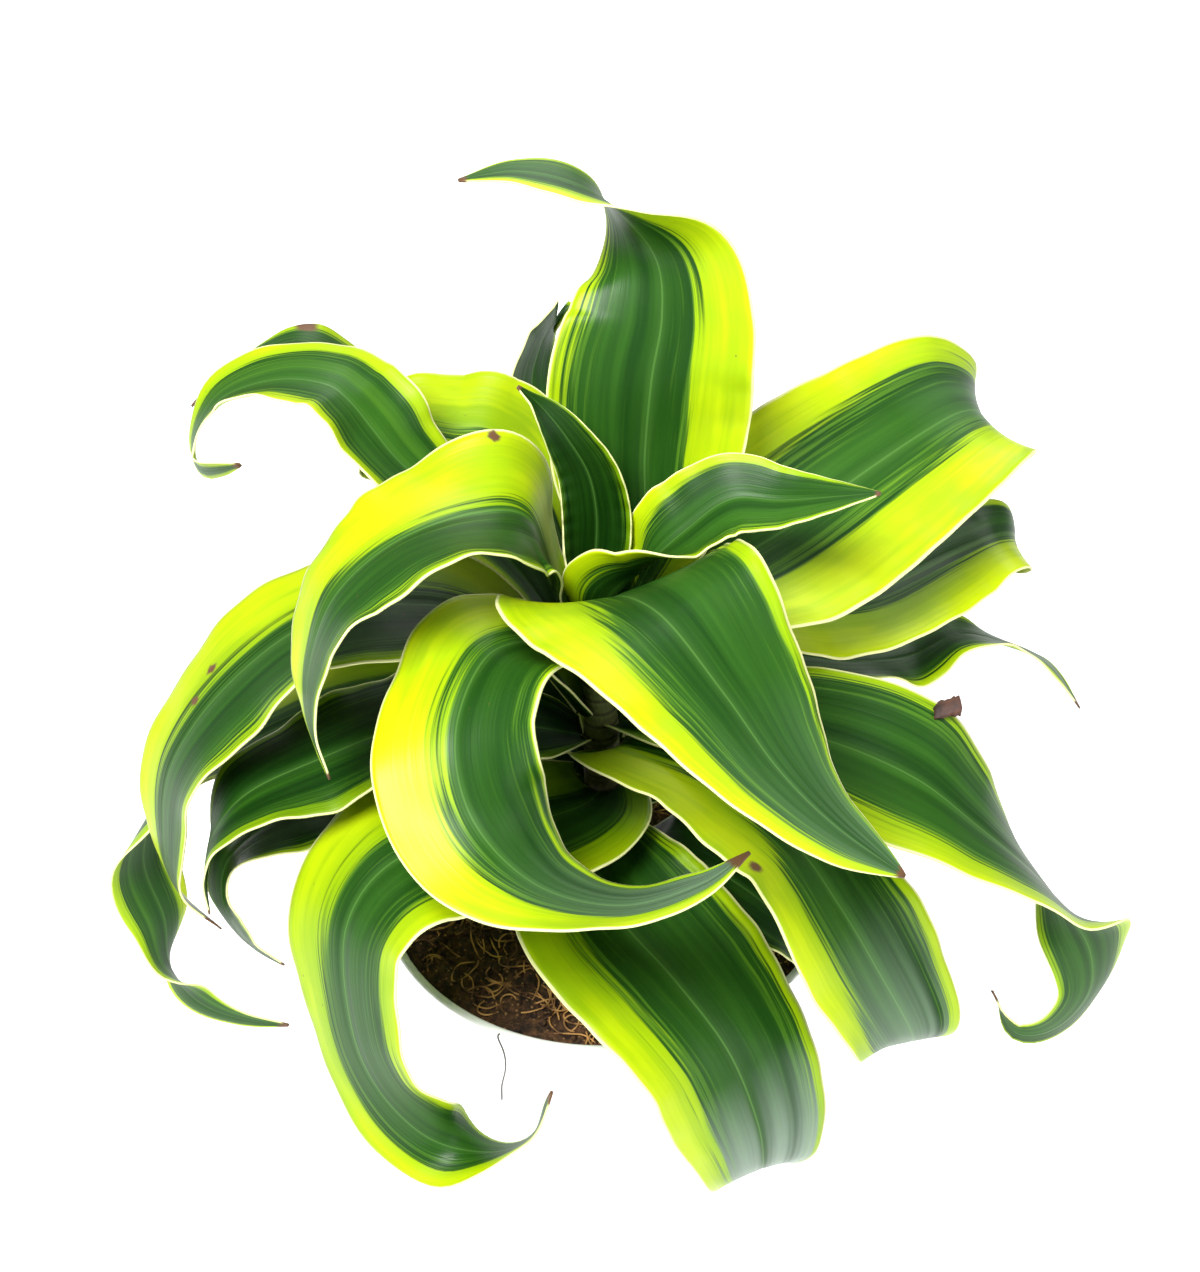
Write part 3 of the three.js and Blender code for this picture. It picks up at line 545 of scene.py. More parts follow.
@dataclass(frozen=True)
class LeafFinish:
    """The skin of a blade: a streaked green middle, uneven lime margins, a pale edge line and a midrib.

    The streaks are noises that swing so many times across the blade and along it. A span is where a
    value starts to count and where it counts in full. A share says how strongly a layer covers the
    ones below. Painted shade darkens the base of each blade and the leaves deep in the plant, and a
    painted sheen, a pale painted reflection, lies near the tip of some.
    """

    name: str = "leaf_skin"
    deep: Colour = (0.007, 0.048, 0.003)
    green: Colour = (0.030, 0.118, 0.009)
    streak: Colour = (0.105, 0.26, 0.016)
    lime: Colour = (0.53, 0.66, 0.002)
    lime_dark: Colour = (0.23, 0.42, 0.002)
    edge: Colour = (0.84, 0.84, 0.40)
    rib: Colour = (0.11, 0.27, 0.05)
    brown: Colour = (0.13, 0.065, 0.03)
    # painted shade: the colour that darkens leaves lying deep in the plant
    core_shade_colour: Colour = (0.30, 0.42, 0.28)
    # painted shade: the colour that darkens the base of each blade
    base_shade_colour: Colour = (0.32, 0.46, 0.4)
    # painted sheen: the pale colour of a painted reflection near the tip
    sheen_colour: Colour = (0.36, 0.44, 0.38)
    roughness: float = 0.40
    specular: float = 0.22
    glow: float = 0.13
    broad: Span = (7.0, 0.9)
    coarse: Span = (17.0, 1.7)
    fine: Span = (62.0, 3.5)
    patch: Span = (2.6, 4.5)
    speck_grid: Span = (9.0, 34.0)
    wander_depth: float = 0.5
    feather_depth: float = 0.34
    lime_span: Span = (-0.03, 0.08)
    beside_span: Span = (-0.42, 0.0)
    tone_span: Span = (0.34, 0.68)
    broad_span: Span = (0.6, 0.8)
    fine_span: Span = (0.5, 0.8)
    feather_span: Span = (0.6, 0.78)
    dull_span: Span = (0.70, 1.02)
    green_lime_span: Span = (0.34, 0.04)
    # painted shade at the base of the blade: none from here along, full at the base
    base_shade_span: Span = (0.26, 0.02)
    # painted shade by the leaf's shade number: none from 0.55 up, full at 0
    shade_span: Span = (0.55, 0.0)
    rib_line_span: Span = (0.008, 0.002)
    rib_glow_span: Span = (0.05, 0.0)
    # where the painted sheen shows along the blade's broad streaks
    sheen_span: Span = (0.2, 0.6)
    edge_span: Span = (0.484, 0.495)
    speck_span: Span = (0.06, 0.035)
    speck_patch_span: Span = (0.56, 0.62)
    dry_span: Span = (0.35, 0.6)
    spot_span: Span = (0.3, 0.7)
    broad_share: float = 0.4
    fine_share: float = 0.08
    beside_share: float = 0.55
    feather_share: float = 0.6
    dull_share: float = 0.65
    green_lime_share: float = 0.6
    rib_share: float = 0.32
    # how much of the painted sheen also lies on the lime
    sheen_on_lime: float = 0.25
    speck_share: float = 0.7
    tone_weights: Span = (0.65, 0.35)
    feather_lift: float = 0.2
    dull_coarse: float = 0.6
    rib_glow: float = 0.5
    edge_wander: float = 0.012
    tip_fray: float = 0.9
    spot_fray: float = 0.8
    roughness_swing: float = 0.2
    relief_fine: float = 0.5
    relief_strength: float = 0.3
    relief_depth: float = 0.0006

    def build(self) -> Finish:
        """Builds the blade's material from its UV map and the numbers that its mesh carries."""
        n = NodeSketch(self.name)
        u, v = n.leaf_place()
        seed = n.attribute("seed")
        broad, coarse, fine, patch = (
            n.streaks(u, v, seed, *swings) for swings in (self.broad, self.coarse, self.fine, self.patch))
        border = n.plus(n.attribute("lime"), n.swing(coarse, self.wander_depth))
        ragged = n.plus(border, n.swing(fine, self.feather_depth))
        lime_mask = n.ramp(ragged, *self.lime_span)
        dark = self._green_part(n, broad, coarse, fine, n.ramp(border, *self.beside_span))
        skin = n.mix(lime_mask, dark, self._lime_part(n, coarse, patch, ragged))
        # Painted shade: the blade darkens towards its base, in the shade of the crown.
        skin = n.mix(n.ramp(v, *self.base_shade_span), skin, n.mix(1.0, skin, self.base_shade_colour, "MULTIPLY"))
        # Painted shade: leaves with a low shade number, deep in the plant, darken towards the core colour.
        shaded = n.ramp(n.attribute("shade"), *self.shade_span)
        skin = n.mix(shaded, skin, n.mix(1.0, skin, self.core_shade_colour, "MULTIPLY"))
        middle = n.math("ABSOLUTE", n.minus(u, 0.5))
        rib_line = n.ramp(middle, *self.rib_line_span)
        rib = n.plus(rib_line, n.times(n.ramp(middle, *self.rib_glow_span), self.rib_glow))
        skin = n.mix(n.times(rib, self.rib_share), skin, self.rib)
        # Painted sheen: a pale painted reflection in broad streaks near the tip, mostly on the green.
        bare = n.minus(1.0, n.times(lime_mask, 1.0 - self.sheen_on_lime))
        sheen_mask = n.times(n.times(n.attribute("painted_sheen"), bare), n.ramp(broad, *self.sheen_span))
        skin = n.mix(sheen_mask, skin, self.sheen_colour)
        outermost = n.ramp(n.plus(middle, n.swing(patch, self.edge_wander)), *self.edge_span)
        skin = n.mix(outermost, skin, self.edge)
        grid = n.vector(n.times(u, self.speck_grid[0]), n.times(v, self.speck_grid[1]), seed)
        skin = self._dried_parts(n, skin, grid, coarse, patch)
        roughness = n.plus(self.roughness, n.swing(patch, self.roughness_swing))
        veins = n.plus(n.times(fine, self.relief_fine), coarse)
        relief = n.bump(veins, self.relief_strength, self.relief_depth)
        surface = n.principled(
            Base_Color=skin, Roughness=roughness, Normal=relief, Specular_IOR_Level=self.specular)
        through = n.node("ShaderNodeBsdfTranslucent", {"Color": skin})
        both = n.node("ShaderNodeMixShader", {0: self.glow, 1: surface, 2: through.outputs[0]})
        return n.finish(both.outputs[0])

    def _green_part(
            self, n: NodeSketch, broad: Socket, coarse: Socket, fine: Socket, beside: Socket) -> Socket:
        """Returns the green of the middle: soft streaks, darker and feathered beside the lime."""
        tone = n.plus(n.times(broad, self.tone_weights[0]), n.times(coarse, self.tone_weights[1]))
        dark = n.mix(n.ramp(tone, *self.tone_span), self.deep, self.green)
        dark = n.mix(n.times(n.ramp(broad, *self.broad_span), self.broad_share), dark, self.streak)
        dark = n.mix(n.times(n.ramp(fine, *self.fine_span), self.fine_share), dark, self.streak)
        dark = n.mix(n.times(beside, self.beside_share), dark, self.deep)
        feathered = n.ramp(n.plus(fine, n.times(beside, self.feather_lift)), *self.feather_span)
        return n.mix(n.times(n.times(beside, feathered), self.feather_share), dark, self.streak)

    def _lime_part(self, n: NodeSketch, coarse: Socket, patch: Socket, ragged: Socket) -> Socket:
        """Returns the lime of the margins, duller in patches and greener at its border."""
        dull = n.ramp(n.plus(patch, n.times(coarse, self.dull_coarse)), *self.dull_span)
        bright = n.mix(n.times(dull, self.dull_share), self.lime, self.lime_dark)
        greener = n.times(n.ramp(ragged, *self.green_lime_span), self.green_lime_share)
        return n.mix(greener, bright, self.lime_dark)

    def _dried_parts(
            self, n: NodeSketch, skin: Socket, place: Socket, coarse: Socket, patch: Socket) -> Socket:
        """Lays the brown specks, tips and spots over the skin.

        Args:
            n: The material's sketch.
            skin: The colour so far.
            place: Where the specks are scattered.
            coarse: The coarse streaks, which fray the tips and spots.
            patch: The slow noise, which keeps the specks in groups.

        Returns:
            The colour with the dried parts.
        """
        speck = n.times(n.ramp(n.cells(place, 1.0), *self.speck_span), n.ramp(patch, *self.speck_patch_span))
        skin = n.mix(n.times(speck, self.speck_share), skin, self.brown)
        tip = n.plus(n.attribute("dry"), n.swing(coarse, self.tip_fray))
        skin = n.mix(n.ramp(tip, *self.dry_span), skin, self.brown)
        spot = n.plus(n.attribute("spot"), n.swing(coarse, self.spot_fray))
        return n.mix(n.ramp(spot, *self.spot_span), skin, self.brown)


@dataclass(frozen=True)
class UndersideFinish(LeafFinish):
    """The duller, greyer underside of a blade, with close pale veins."""

    name: str = "leaf_underside"
    deep: Colour = (0.04, 0.115, 0.03)
    green: Colour = (0.085, 0.19, 0.055)
    streak: Colour = (0.20, 0.33, 0.08)
    lime: Colour = (0.56, 0.68, 0.02)
    lime_dark: Colour = (0.34, 0.48, 0.03)
    rib: Colour = (0.30, 0.42, 0.18)
    roughness: float = 0.5


@dataclass(frozen=True)
class PlasticFinish:
    """Satin white moulded plastic with faint mottling, a few scuffs and a broken painted shadow line at the
    foot, where it meets the floor.
    """

    name: str = "pot_plastic"
    white: Colour = (0.86, 0.865, 0.86)
    scuff: Colour = (0.70, 0.71, 0.70)
    # the bluish-grey colour of the painted shadow at the foot
    foot_shadow_colour: Colour = (0.36, 0.42, 0.50)
    scuff_span: Span = (0.62, 0.8)
    scuff_share: float = 0.35
    mottle_span: Span = (0.35, 0.6)
    # heights in metres where the painted shadow at the foot fades from none to full
    foot_shadow_span: Span = (0.0022, 0.0006)
    mottle_scale: float = 45.0
    scuff_scale: float = 160.0
    grain_scale: float = 900.0
    roughness: float = 0.34
    dulling: float = 0.16
    relief: Span = (0.12, 0.0002)

    def build(self) -> Finish:
        """Builds the pot's material on object coordinates."""
        n = NodeSketch(self.name)
        place = n.place()
        mottle = n.noise(place, self.mottle_scale, detail=4.0)
        scuffs = n.ramp(n.noise(place, self.scuff_scale, detail=6.0, roughness=0.7), *self.scuff_span)
        colour = n.mix(n.times(scuffs, self.scuff_share), self.white, self.scuff)
        height = n.parts(place)[2]
        # Painted shadow: a broken bluish-grey line just above the floor, where the foot meets it.
        foot = n.times(n.ramp(height, *self.foot_shadow_span), n.ramp(mottle, *self.mottle_span))
        colour = n.mix(foot, colour, self.foot_shadow_colour)
        roughness = n.plus(self.roughness, n.times(mottle, self.dulling))
        relief = n.bump(n.noise(place, self.grain_scale, detail=2.0), *self.relief)
        return n.finish(n.principled(Base_Color=colour, Roughness=roughness, Normal=relief))


@dataclass(frozen=True)
class SoilFinish:
    """Damp dark peat with brown bark crumbs."""

    name: str = "soil_peat"
    black: Colour = (0.020, 0.010, 0.006)
    brown: Colour = (0.15, 0.066, 0.026)
    crumb: Colour = (0.40, 0.20, 0.08)
    lump_span: Span = (0.35, 0.7)
    crumb_span: Span = (0.28, 0.08)
    lump_scale: float = 260.0
    crumb_scale: float = 420.0
    roughness: float = 0.92
    relief: Span = (0.9, 0.002)

    def build(self) -> Finish:
        """Builds the soil's material on object coordinates."""
        n = NodeSketch(self.name)
        place = n.place()
        lumps = n.noise(place, self.lump_scale, detail=6.0, roughness=0.7)
        crumbs = n.cells(place, self.crumb_scale)
        colour = n.mix(n.ramp(lumps, *self.lump_span), self.black, self.brown)
        colour = n.mix(n.ramp(crumbs, *self.crumb_span), colour, self.crumb)
        relief = n.bump(n.minus(lumps, crumbs), *self.relief)
        return n.finish(n.principled(Base_Color=colour, Roughness=self.roughness, Normal=relief))


@dataclass(frozen=True)
class FibreFinish:
    """Golden-brown coir thread, lighter and darker along its length."""

    name: str = "soil_fibre"
    light: Colour = (0.66, 0.34, 0.11)
    dark: Colour = (0.12, 0.05, 0.018)
    light_span: Span = (0.36, 0.62)
    tone_scale: float = 130.0
    grain_scale: float = 1500.0
    roughness: float = 0.7
    relief: Span = (0.4, 0.0002)

    def build(self) -> Finish:
        """Builds the fibres' material on object coordinates."""
        n = NodeSketch(self.name)
        place = n.place()
        tone = n.noise(place, self.tone_scale, detail=3.0)
        colour = n.mix(n.ramp(tone, *self.light_span), self.dark, self.light)
        relief = n.bump(n.noise(place, self.grain_scale, detail=2.0), *self.relief)
        return n.finish(n.principled(Base_Color=colour, Roughness=self.roughness, Normal=relief))


@dataclass(frozen=True)
class StemFinish:
    """Green-brown bark, ringed and darkened where old leaves came away."""

    name: str = "stem_bark"
    bark: Colour = (0.11, 0.085, 0.038)
    green: Colour = (0.12, 0.17, 0.04)
    scar: Colour = (0.035, 0.024, 0.012)
    green_span: Span = (0.15, 0.26)
    ring_span: Span = (0.55, 0.95)
    grain_span: Span = (0.5, 0.75)
    ring_share: float = 0.7
    grain_share: float = 0.4
    ring_turn: float = 1100.0
    ring_relief: float = -0.3
    grain_stretch: float = 3.0
    grain_scale: float = 320.0
    roughness: float = 0.72
    relief: Span = (0.6, 0.0008)

    def build(self) -> Finish:
        """Builds the stem's material on object coordinates."""
        n = NodeSketch(self.name)
        x, y, height = n.parts(n.place())
        colour = n.mix(n.ramp(height, *self.green_span), self.bark, self.green)
        drawn_out = n.vector(n.times(x, self.grain_stretch), y, height)
        grain = n.noise(drawn_out, self.grain_scale, detail=4.0)
        rings = n.math("SINE", n.times(height, self.ring_turn))
        colour = n.mix(n.times(n.ramp(rings, *self.ring_span), self.ring_share), colour, self.scar)
        colour = n.mix(n.times(n.ramp(grain, *self.grain_span), self.grain_share), colour, self.scar)
        relief = n.bump(n.plus(grain, n.times(rings, self.ring_relief)), *self.relief)
        return n.finish(n.principled(Base_Color=colour, Roughness=self.roughness, Normal=relief))


@dataclass(frozen=True)
class FloorFinish:
    """A plain, evenly lit pale floor."""

    name: str = "studio_floor"
    pale: Colour = (0.93, 0.93, 0.93)
    glow: float = 0.62
    roughness: float = 0.9

    def build(self) -> Finish:
        """Builds the floor's material, lit a little from within so that it stays pale under the leaves."""
        n = NodeSketch(self.name)
        return n.finish(n.principled(
            Base_Color=self.pale, Roughness=self.roughness,
            Emission_Color=self.pale, Emission_Strength=self.glow))


class Workshop:
    """The modelling steps that all pieces share."""

    @staticmethod
    def only(piece: Piece) -> None:
        """Selects one object and makes it active."""
        bpy.ops.object.select_all(action="DESELECT")
        piece.select_set(True)
        bpy.context.view_layer.objects.active = piece

    @staticmethod
    def grid(name: str, columns: int, rows: int) -> Piece:
        """Adds a flat grid of a number of cells across and along, with its UV map.

        Args:
            name: The object's name.
            columns: Cells across.
            rows: Cells along.

        Returns:
            The grid object, with its vertices in rows.
        """
        bpy.ops.mesh.primitive_grid_add(x_subdivisions=columns, y_subdivisions=rows, size=1.0, calc_uvs=True)
        piece = bpy.context.active_object
        piece.name = name
        piece.data.name = name
        return piece

    @staticmethod
    def spread(piece: Piece) -> Tuple[Array, Array]:
        """Returns each vertex's place across and along a fresh grid, from 0 to 1."""
        flat = np.zeros(len(piece.data.vertices) * 3)
        piece.data.vertices.foreach_get("co", flat)
        flat = flat.reshape(-1, 3)
        return flat[:, 0] + 0.5, flat[:, 1] + 0.5

    @staticmethod
    def place(piece: Piece, points: Array) -> None:
        """Moves the vertices to points given in metres."""
        piece.data.vertices.foreach_set("co", np.ascontiguousarray(points, dtype=np.float64).ravel())
        piece.data.update()

    @staticmethod
    def carry(piece: Piece, name: str, values: Array) -> None:
        """Stores a number on each vertex under a name."""
        layer = piece.data.attributes.new(name, "FLOAT", "POINT")
        layer.data.foreach_set("value", np.asarray(values, dtype=np.float32))

    @classmethod
    def apply_modifier(cls, piece: Piece, kind: str, **settings: object) -> None:
        """Adds a modifier, sets it and applies it."""
        cls.only(piece)
        made = piece.modifiers.new(kind.lower(), kind)
        for key, value in settings.items():
            setattr(made, key, value)
        bpy.ops.object.modifier_apply(modifier=made.name)

    @classmethod
    def smooth(cls, piece: Piece) -> None:
        """Shades all faces smooth."""
        cls.only(piece)
        bpy.ops.object.shade_smooth()

    @classmethod
    def tidy(cls, piece: Piece, merge: float = 1e-5) -> None:
        """Merges doubles and turns the faces outwards."""
        cls.only(piece)
        bpy.ops.object.mode_set(mode="EDIT")
        bpy.ops.mesh.select_all(action="SELECT")
        bpy.ops.mesh.remove_doubles(threshold=merge)
        bpy.ops.mesh.normals_make_consistent(inside=False)
        bpy.ops.object.mode_set(mode="OBJECT")

    @staticmethod
    def join(pieces: Sequence[Piece], name: str) -> Piece:
        """Joins pieces into one object."""
        bpy.ops.object.select_all(action="DESELECT")
        for piece in pieces:
            piece.select_set(True)
        bpy.context.view_layer.objects.active = pieces[0]
        bpy.ops.object.join()
        joined = bpy.context.active_object
        joined.name = name
        joined.data.name = name
        return joined

    @classmethod
    def turned(cls, name: str, profile: Profile, around: int) -> Piece:
        """Turns a closed profile about Z.

        Args:
            name: The object's name.
            profile: Radius and height pairs in mm that start and end on the axis.
            around: How many faces go round.

        Returns:
            The turned object, closed and facing outwards.
        """
        piece = cls.grid(name, around, len(profile) - 1)
        u, v = cls.spread(piece)
        steps = np.arange(len(profile))
        place = v * (len(profile) - 1)
        radius = np.interp(place, steps, [p[0] for p in profile])
        height = np.interp(place, steps, [p[1] for p in profile])
        angle = 2 * np.pi * u
        cls.place(piece, np.column_stack([radius * np.cos(angle), radius * np.sin(angle), height]) * MM)
        cls.tidy(piece)
        return piece

    @classmethod
    def dress(cls, piece: Piece, slot: Slot, *finishes: Finish) -> Piece:
        """Applies the transforms, gives the piece its materials and puts it on the plant's body.

        Args:
            piece: The finished mesh object.
            slot: The record's slot for the piece; not used.
            finishes: The materials, in the order of the mesh's material indices.

        Returns:
            The same object.
        """
        cls.only(piece)
        bpy.ops.object.transform_apply(location=True, rotation=True, scale=True)
        piece.data.materials.clear()
        for finish in finishes:
            piece.data.materials.append(finish)
        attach(piece, BODY)
        LOG.info("%s: %d faces", piece.name, len(piece.data.polygons))
        return piece


@dataclass
class Foliage:
    """All the leaves, each a thin blade that clasps the stem."""

    sizes: PlantSizes
    columns: int = 26
    rows: int = 120
    thickness: float = 0.7
    marking_places: Triple = (0.12, 0.5, 0.88)
    seed_step: float = 7.31
    dry_blend: float = 0.03
    # where the painted sheen starts along the blade and over what length it grows to full
    sheen_start: float = 0.62
    sheen_length: float = 0.3

    def build(self) -> None:
        """Models and dresses every leaf."""
        skin = LeafFinish().build()
        underside = UndersideFinish().build()
        for number, spec in enumerate(LEAVES):
            piece = self._blade(spec, number)
            Workshop.dress(piece, Slot.LEAF, skin, underside)
            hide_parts(spec.name)

    def _blade(self, spec: LeafSpec, number: int) -> Piece:
        """Models one leaf.

        Args:
            spec: The leaf's outline, route and markings.
            number: The leaf's place in the list, which seeds its streaks.

        Returns:
            The blade, thickened and smooth.
        """
        piece = Workshop.grid(f"{spec.name}_blade", self.columns, self.rows)
        u, v = Workshop.spread(piece)
        s = 2 * u - 1
        Workshop.place(piece, LeafSurface(spec, self.sizes).points(v, s) * MM)
        Workshop.carry(piece, "lime", self._lime_depth(spec, v, s))
        Workshop.carry(piece, "seed", np.full(len(u), number * self.seed_step))
        # the leaf's shade number, which paints shade into its colour
        Workshop.carry(piece, "shade", np.full(len(u), spec.shade))
        Workshop.carry(piece, "dry", 0.5 + (v - 1 + spec.dry) / self.dry_blend)
        # Painted sheen: the painted reflection grows from nothing to full towards the tip.
        painted_sheen = np.clip((v - self.sheen_start) / self.sheen_length, 0, 1)
        Workshop.carry(piece, "painted_sheen", spec.painted_sheen * painted_sheen)
        Workshop.carry(piece, "spot", self._spot_depth(spec, piece, u, v))
        Workshop.apply_modifier(
            piece, "SOLIDIFY", thickness=self.thickness * MM, offset=0.0, use_even_offset=False,
            use_rim=True, material_offset=1, material_offset_rim=0)
        Workshop.smooth(piece)
        return piece

    def _lime_depth(self, spec: LeafSpec, v: Array, s: Array) -> Array:
        """Returns how deep each vertex lies in a lime margin, in half widths, negative in the green."""
        left = 2 * np.interp(v, self.marking_places, spec.lime_left)
        right = 2 * np.interp(v, self.marking_places, spec.lime_right)
        return np.maximum(left - 1 - s, s - 1 + right)

    @staticmethod
    def _spot_depth(spec: LeafSpec, piece: Piece, u: Array, v: Array) -> Array:
        """Returns how deep each vertex lies in a dried spot, from 1 in its middle to 0 outside.

        Args:
            spec: The leaf's outline, route and markings.
            piece: The blade before it is thickened.
            u: Each vertex's place across the blade.
            v: Each vertex's place along the blade.

        Returns:
            One number for each vertex.
        """
        points = np.array([vertex.co for vertex in piece.data.vertices]) / MM
        depth = np.zeros(len(points))
        for along, across, radius in spec.spots:
            middle = points[np.argmin(np.hypot(u - across, v - along))]
            depth = np.maximum(depth, 1 - np.linalg.norm(points - middle, axis=1) / radius)
        return depth


@dataclass
class DryScrap:
    """The crumpled dry scrap that is caught on the back edge of the twisted leaf."""

    sizes: PlantSizes
    leaf: str = "leaf_right_twist"
    along: float = 0.39
    across: float = -0.97
    length: float = 9.0
    width: float = 8.0
    thickness: float = 0.7
    cells: Tuple[int, int] = (8, 6)
    curl: float = 2.6
    crumple: float = 0.6
    narrow_end: float = 0.4
    seed: int = 8
    finish: FibreFinish = FibreFinish("dry_scrap", (0.09, 0.035, 0.022), (0.02, 0.008, 0.005))

    def build(self) -> None:
        """Models and dresses the scrap."""
        spec = next(leaf for leaf in LEAVES if leaf.name == self.leaf)
        along = np.array([self.along])
        across = np.array([self.across])
        middle = LeafSurface(spec, self.sizes).points(along, across)[0]
        piece = Workshop.grid("dry_scrap", *self.cells)
        Workshop.place(piece, (self._points(*Workshop.spread(piece)) + middle) * MM)
        Workshop.apply_modifier(piece, "SOLIDIFY", thickness=self.thickness * MM, offset=0.0, use_rim=True)
        Workshop.smooth(piece)
        Workshop.dress(piece, Slot.LEAF, self.finish.build())

    def _points(self, u: Array, v: Array) -> Array:
        """Returns the crumpled half roll in mm for places across and along the grid."""
        crumple = np.random.default_rng(self.seed).uniform(-self.crumple, self.crumple, len(u))
        turn = self.curl * (v - 0.5)
        radius = self.width / 2
        x = self.length * (u - 0.5) + crumple
        y = radius * np.sin(turn) + crumple[::-1]
        z = radius * np.cos(turn) * (self.narrow_end + u) + crumple
        return np.column_stack([x, y, z])


@dataclass
class Stem:
    """The stem, buried in the soil, ringed where leaves came away and closed by the bud at the crown."""

    sizes: PlantSizes
    around: int = 48
    ring_pitch: float = 5.7
    ring_depth: float = 0.45
    ring_shape: Tuple[Span, ...] = ((0.0, 0.0), (0.35, 0.15), (0.75, 0.3), (0.88, 1.0))
    bud_shoulder: Span = (0.6, 0.7)

    def build(self) -> None:
        """Models and dresses the stem."""
        piece = Workshop.turned("stem_trunk", self._profile(), self.around)
        Workshop.smooth(piece)
        Workshop.dress(piece, Slot.STEM, StemFinish().build())
        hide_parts("stem")

    def _profile(self) -> Profile:
        """Returns the stem's outline from its buried end to the tip of the bud."""
        sizes = self.sizes
        outline: Profile = [(0.0, sizes.stem_root), (sizes.stem_foot_radius, sizes.stem_root)]
        z = sizes.soil_top
        while z < sizes.stem_top:
            for share, depth in self.ring_shape:
                height = z + share * self.ring_pitch
                outline.append((sizes.stem_radius(height) - depth * self.ring_depth, height))
            z += self.ring_pitch
        top = sizes.stem_top
        width, height = self.bud_shoulder
        outline.append((sizes.stem_top_radius * width, top + sizes.bud_height * height))
        outline.append((0.0, top + sizes.bud_height))
        return outline


